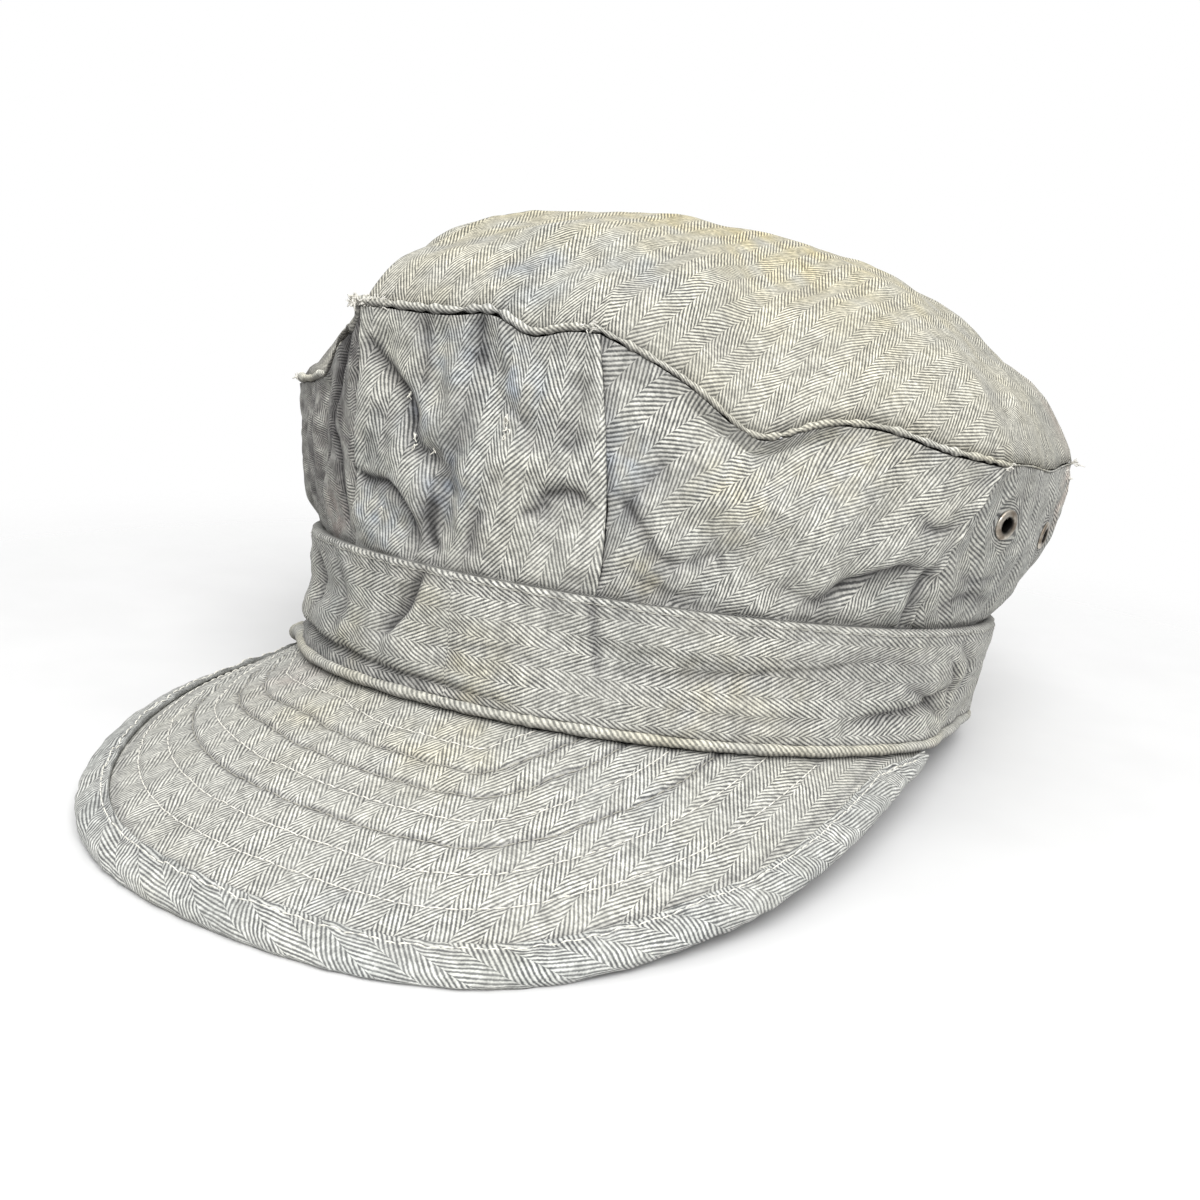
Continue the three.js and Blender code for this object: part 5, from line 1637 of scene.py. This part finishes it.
# Frays: start, direction, count, length, spread, seed, thickness, bend and scatter
frays = [
    (cornerPlace(7, -1.0, -0.4, 0.1), (-0.8, -0.4, -0.1), 34, 0.75, 0.9, 301, 0.5, 2.0, 0.55),
    (cornerPlace(7, -1.5, -0.4, 0.0), (-0.8, -0.4, 0.0), 10, 0.9, 0.6, 302, 0.3, 1.6, 0.4),
    (cornerPlace(7, 4.4, -0.9, 0.2), (0.3, -0.7, 0.1), 14, 0.7, 0.8, 309, 0.36, 1.4, 0.6),
    (cornerPlace(7, 7.0, -1.2, 0.1), (0.3, -0.7, 0.1), 10, 0.6, 0.8, 310, 0.34, 1.4, 0.6),
    (cornerPlace(7, 2.0, -0.8, 0.3), (0.2, -0.7, 0.1), 16, 0.7, 0.7, 308, 0.4, 1.4, 0.7),
    (cornerPlace(0, -1.0, -1.0, 0.0), (0.2, -0.6, 0.2), 8, 1.1, 0.7, 303, 0.32, 0.7, 0.8),
    (cornerPlace(2, 0.2, 0.0, 0.2), (0.8, 0.43, 0.5), 8, 1.7, 0.35, 304, 0.36, 0.7, 0.5),
    (cornerPlace(6, -0.2, -0.4, 0.4), (-0.9, -0.3, 0.35), 7, 1.0, 0.4, 305, 0.6, 1.5, 0.3),
    (cornerPlace(1, 0.4, -0.4, -0.6), (0.4, -0.6, -0.2), 9, 1.2, 0.7, 306, 0.34, 0.6, 0.7),
    (panelPoint("left_rear_panel", 0.97, 0.62), (0.9, 0.43, 0.1), 6, 1.3, 0.5, 307, 0.3, 0.6, 0.5),
]

# Short frays down the worn edge on the wearer's left: across and up on their panel
wornPlaces = [(0.8, 0.97), (0.83, 0.92), (0.86, 0.86), (0.88, 0.8)]

# Snagged threads of the front panel: across, up, count and length
snagPlaces = [
    (0.247, 0.67, 3, 1.4), (0.293, 0.51, 2, 1.6), (0.3, 0.47, 2, 1.6), (0.371, 0.46, 2, 1.1),
    (0.664, 0.63, 5, 2.0), (0.67, 0.6, 3, 1.2), (0.66, 0.56, 3, 1.6), (0.645, 0.48, 3, 1.6),
    (0.642, 0.44, 3, 1.2), (0.147, 0.19, 2, 1.1),
]


def makeLooseEnds():
    tubes = [looseTubes(*fray) for fray in frays]
    for number, (across, up) in enumerate(wornPlaces):
        start = panelPoint("left_rear_panel", across, up) - (0.8, 0.3, 0.0)
        tubes.append(looseTubes(start, (0.95, 0.2, 0.15), 5, 0.7, 0.5, 311 + number, 0.3, 1.2, 0.2))
    makeThreads("frayed_threads", tubes, wornThread)
    snags = []
    for number, (across, up, count, length) in enumerate(snagPlaces):
        start = panelPoint("front_panel", across, up) + (0.1, -0.4, 0.5 * length)
        hanging = (0.0, -0.3, -0.95)
        snags.append(looseTubes(start, hanging, count, length, 0.16, 320 + number, 0.3, 0.45, 0.16))
    makeThreads("snagged_threads", snags, whiteThread)


for name in panelNames:
    makePanel(name)
for name in ("left_rear_panel", "right_rear_panel"):
    for number, at, high, lean in eyeletPlaces:
        makeEyelet(name, number, at, high, lean)
print("panels and eyelets made")
makeTop()
makeCrownWelt()
print("crown made")
makeBand()
makeBandWelt()
print("band made")
makePeakStitching(*makePeak())
makeBinding()
makeLooseEnds()
print("peak and threads made")


# Soft studio light: one large lamp in front on the wearer's left, and a sky that is pale overhead and
# behind the cap and dimmer in front and at the sides
lights = {
    "key": 24.0, "keySize": 1.0, "keyPlace": (0.60, -0.86, 0.92), "bright": 1.0, "dim": 0.12,
    "behind": (-0.43, 0.90, 0.0),
}


def addLamp(name, place, target, size, power):
    data = bpy.data.lights.new(name, "AREA")
    data.size = size
    data.energy = power
    lamp = bpy.data.objects.new(name, data)
    lamp.location = place
    lamp.rotation_euler = (Vector(target) - Vector(place)).to_track_quat("-Z", "Y").to_euler()
    bpy.context.scene.collection.objects.link(lamp)


def makeWorld():
    world = bpy.data.worlds.new("studio")
    bpy.context.scene.world = world
    recipe = Recipe(world)
    facing = recipe.add("TexCoord")
    behind = recipe.add("VectorMath", {"operation": "DOT_PRODUCT"}, {0: facing, 1: lights["behind"]}, 1)
    above = recipe.add("VectorMath", {"operation": "DOT_PRODUCT"}, {0: facing, 1: (0, 0, 1)}, 1)
    pale = recipe.clip(behind, 0.45, 0.85).math("MAXIMUM", recipe.clip(above, 0.3, 0.9))
    strength = lights["dim"] + pale * (lights["bright"] - lights["dim"])
    glow = recipe.add("Background", {}, {"Color": (1, 1, 1, 1), "Strength": strength})
    recipe.add("OutputWorld", {}, {"Surface": glow})


# Floor: a pale disc in metres that thins out to nothing with distance, so that no horizon shows
floorLook = {
    "rings": (0.1, 0.25, 0.45, 0.7, 1.2), "sides": 96, "solid": 0.15, "gone": 0.36,
    "darkest": 0.72, "palest": 0.74,
}


def makeFloor():
    turns = np.linspace(0, 2 * pi, floorLook["sides"], endpoint=False)
    rings = np.array(floorLook["rings"])[:, None]
    grid = pointsOf(rings * np.cos(turns), rings * np.sin(turns), 0.0).reshape(-1, 3)
    faces, _ = sweptFaces(len(rings), len(turns), False, True)
    mesh = bpy.data.meshes.new("floor")
    mesh.from_pydata(grid.tolist(), [], faces.tolist() + [list(range(len(turns)))])
    floor = bpy.data.objects.new("floor", mesh)
    bpy.context.scene.collection.objects.link(floor)
    recipe = Recipe("pale floor")
    place = recipe.place()
    away = recipe.add("VectorMath", {"operation": "LENGTH"}, {0: place}, 1)
    fade = recipe.clip(away, floorLook["solid"], floorLook["gone"])
    pale = recipe.clip(recipe.noise(place, 30.0), 0.3, 0.7, floorLook["darkest"], floorLook["palest"])
    paint = recipe.add("BsdfPrincipled", {}, {
        "Base Color": recipe.grey(pale), "Roughness": 0.9, "Specular IOR Level": 0.1,
    })
    clear = recipe.add("BsdfTransparent")
    mesh.materials.append(recipe.finish(recipe.add("MixShader", {}, {0: fade, 1: paint, 2: clear})))
    floor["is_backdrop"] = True


makeWorld()
addLamp("key", lights["keyPlace"], (0, 0, 0.06), lights["keySize"], lights["key"])
makeFloor()
bpy.context.scene.view_settings.view_transform = "Standard"
print("stage and light set")

low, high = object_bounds()
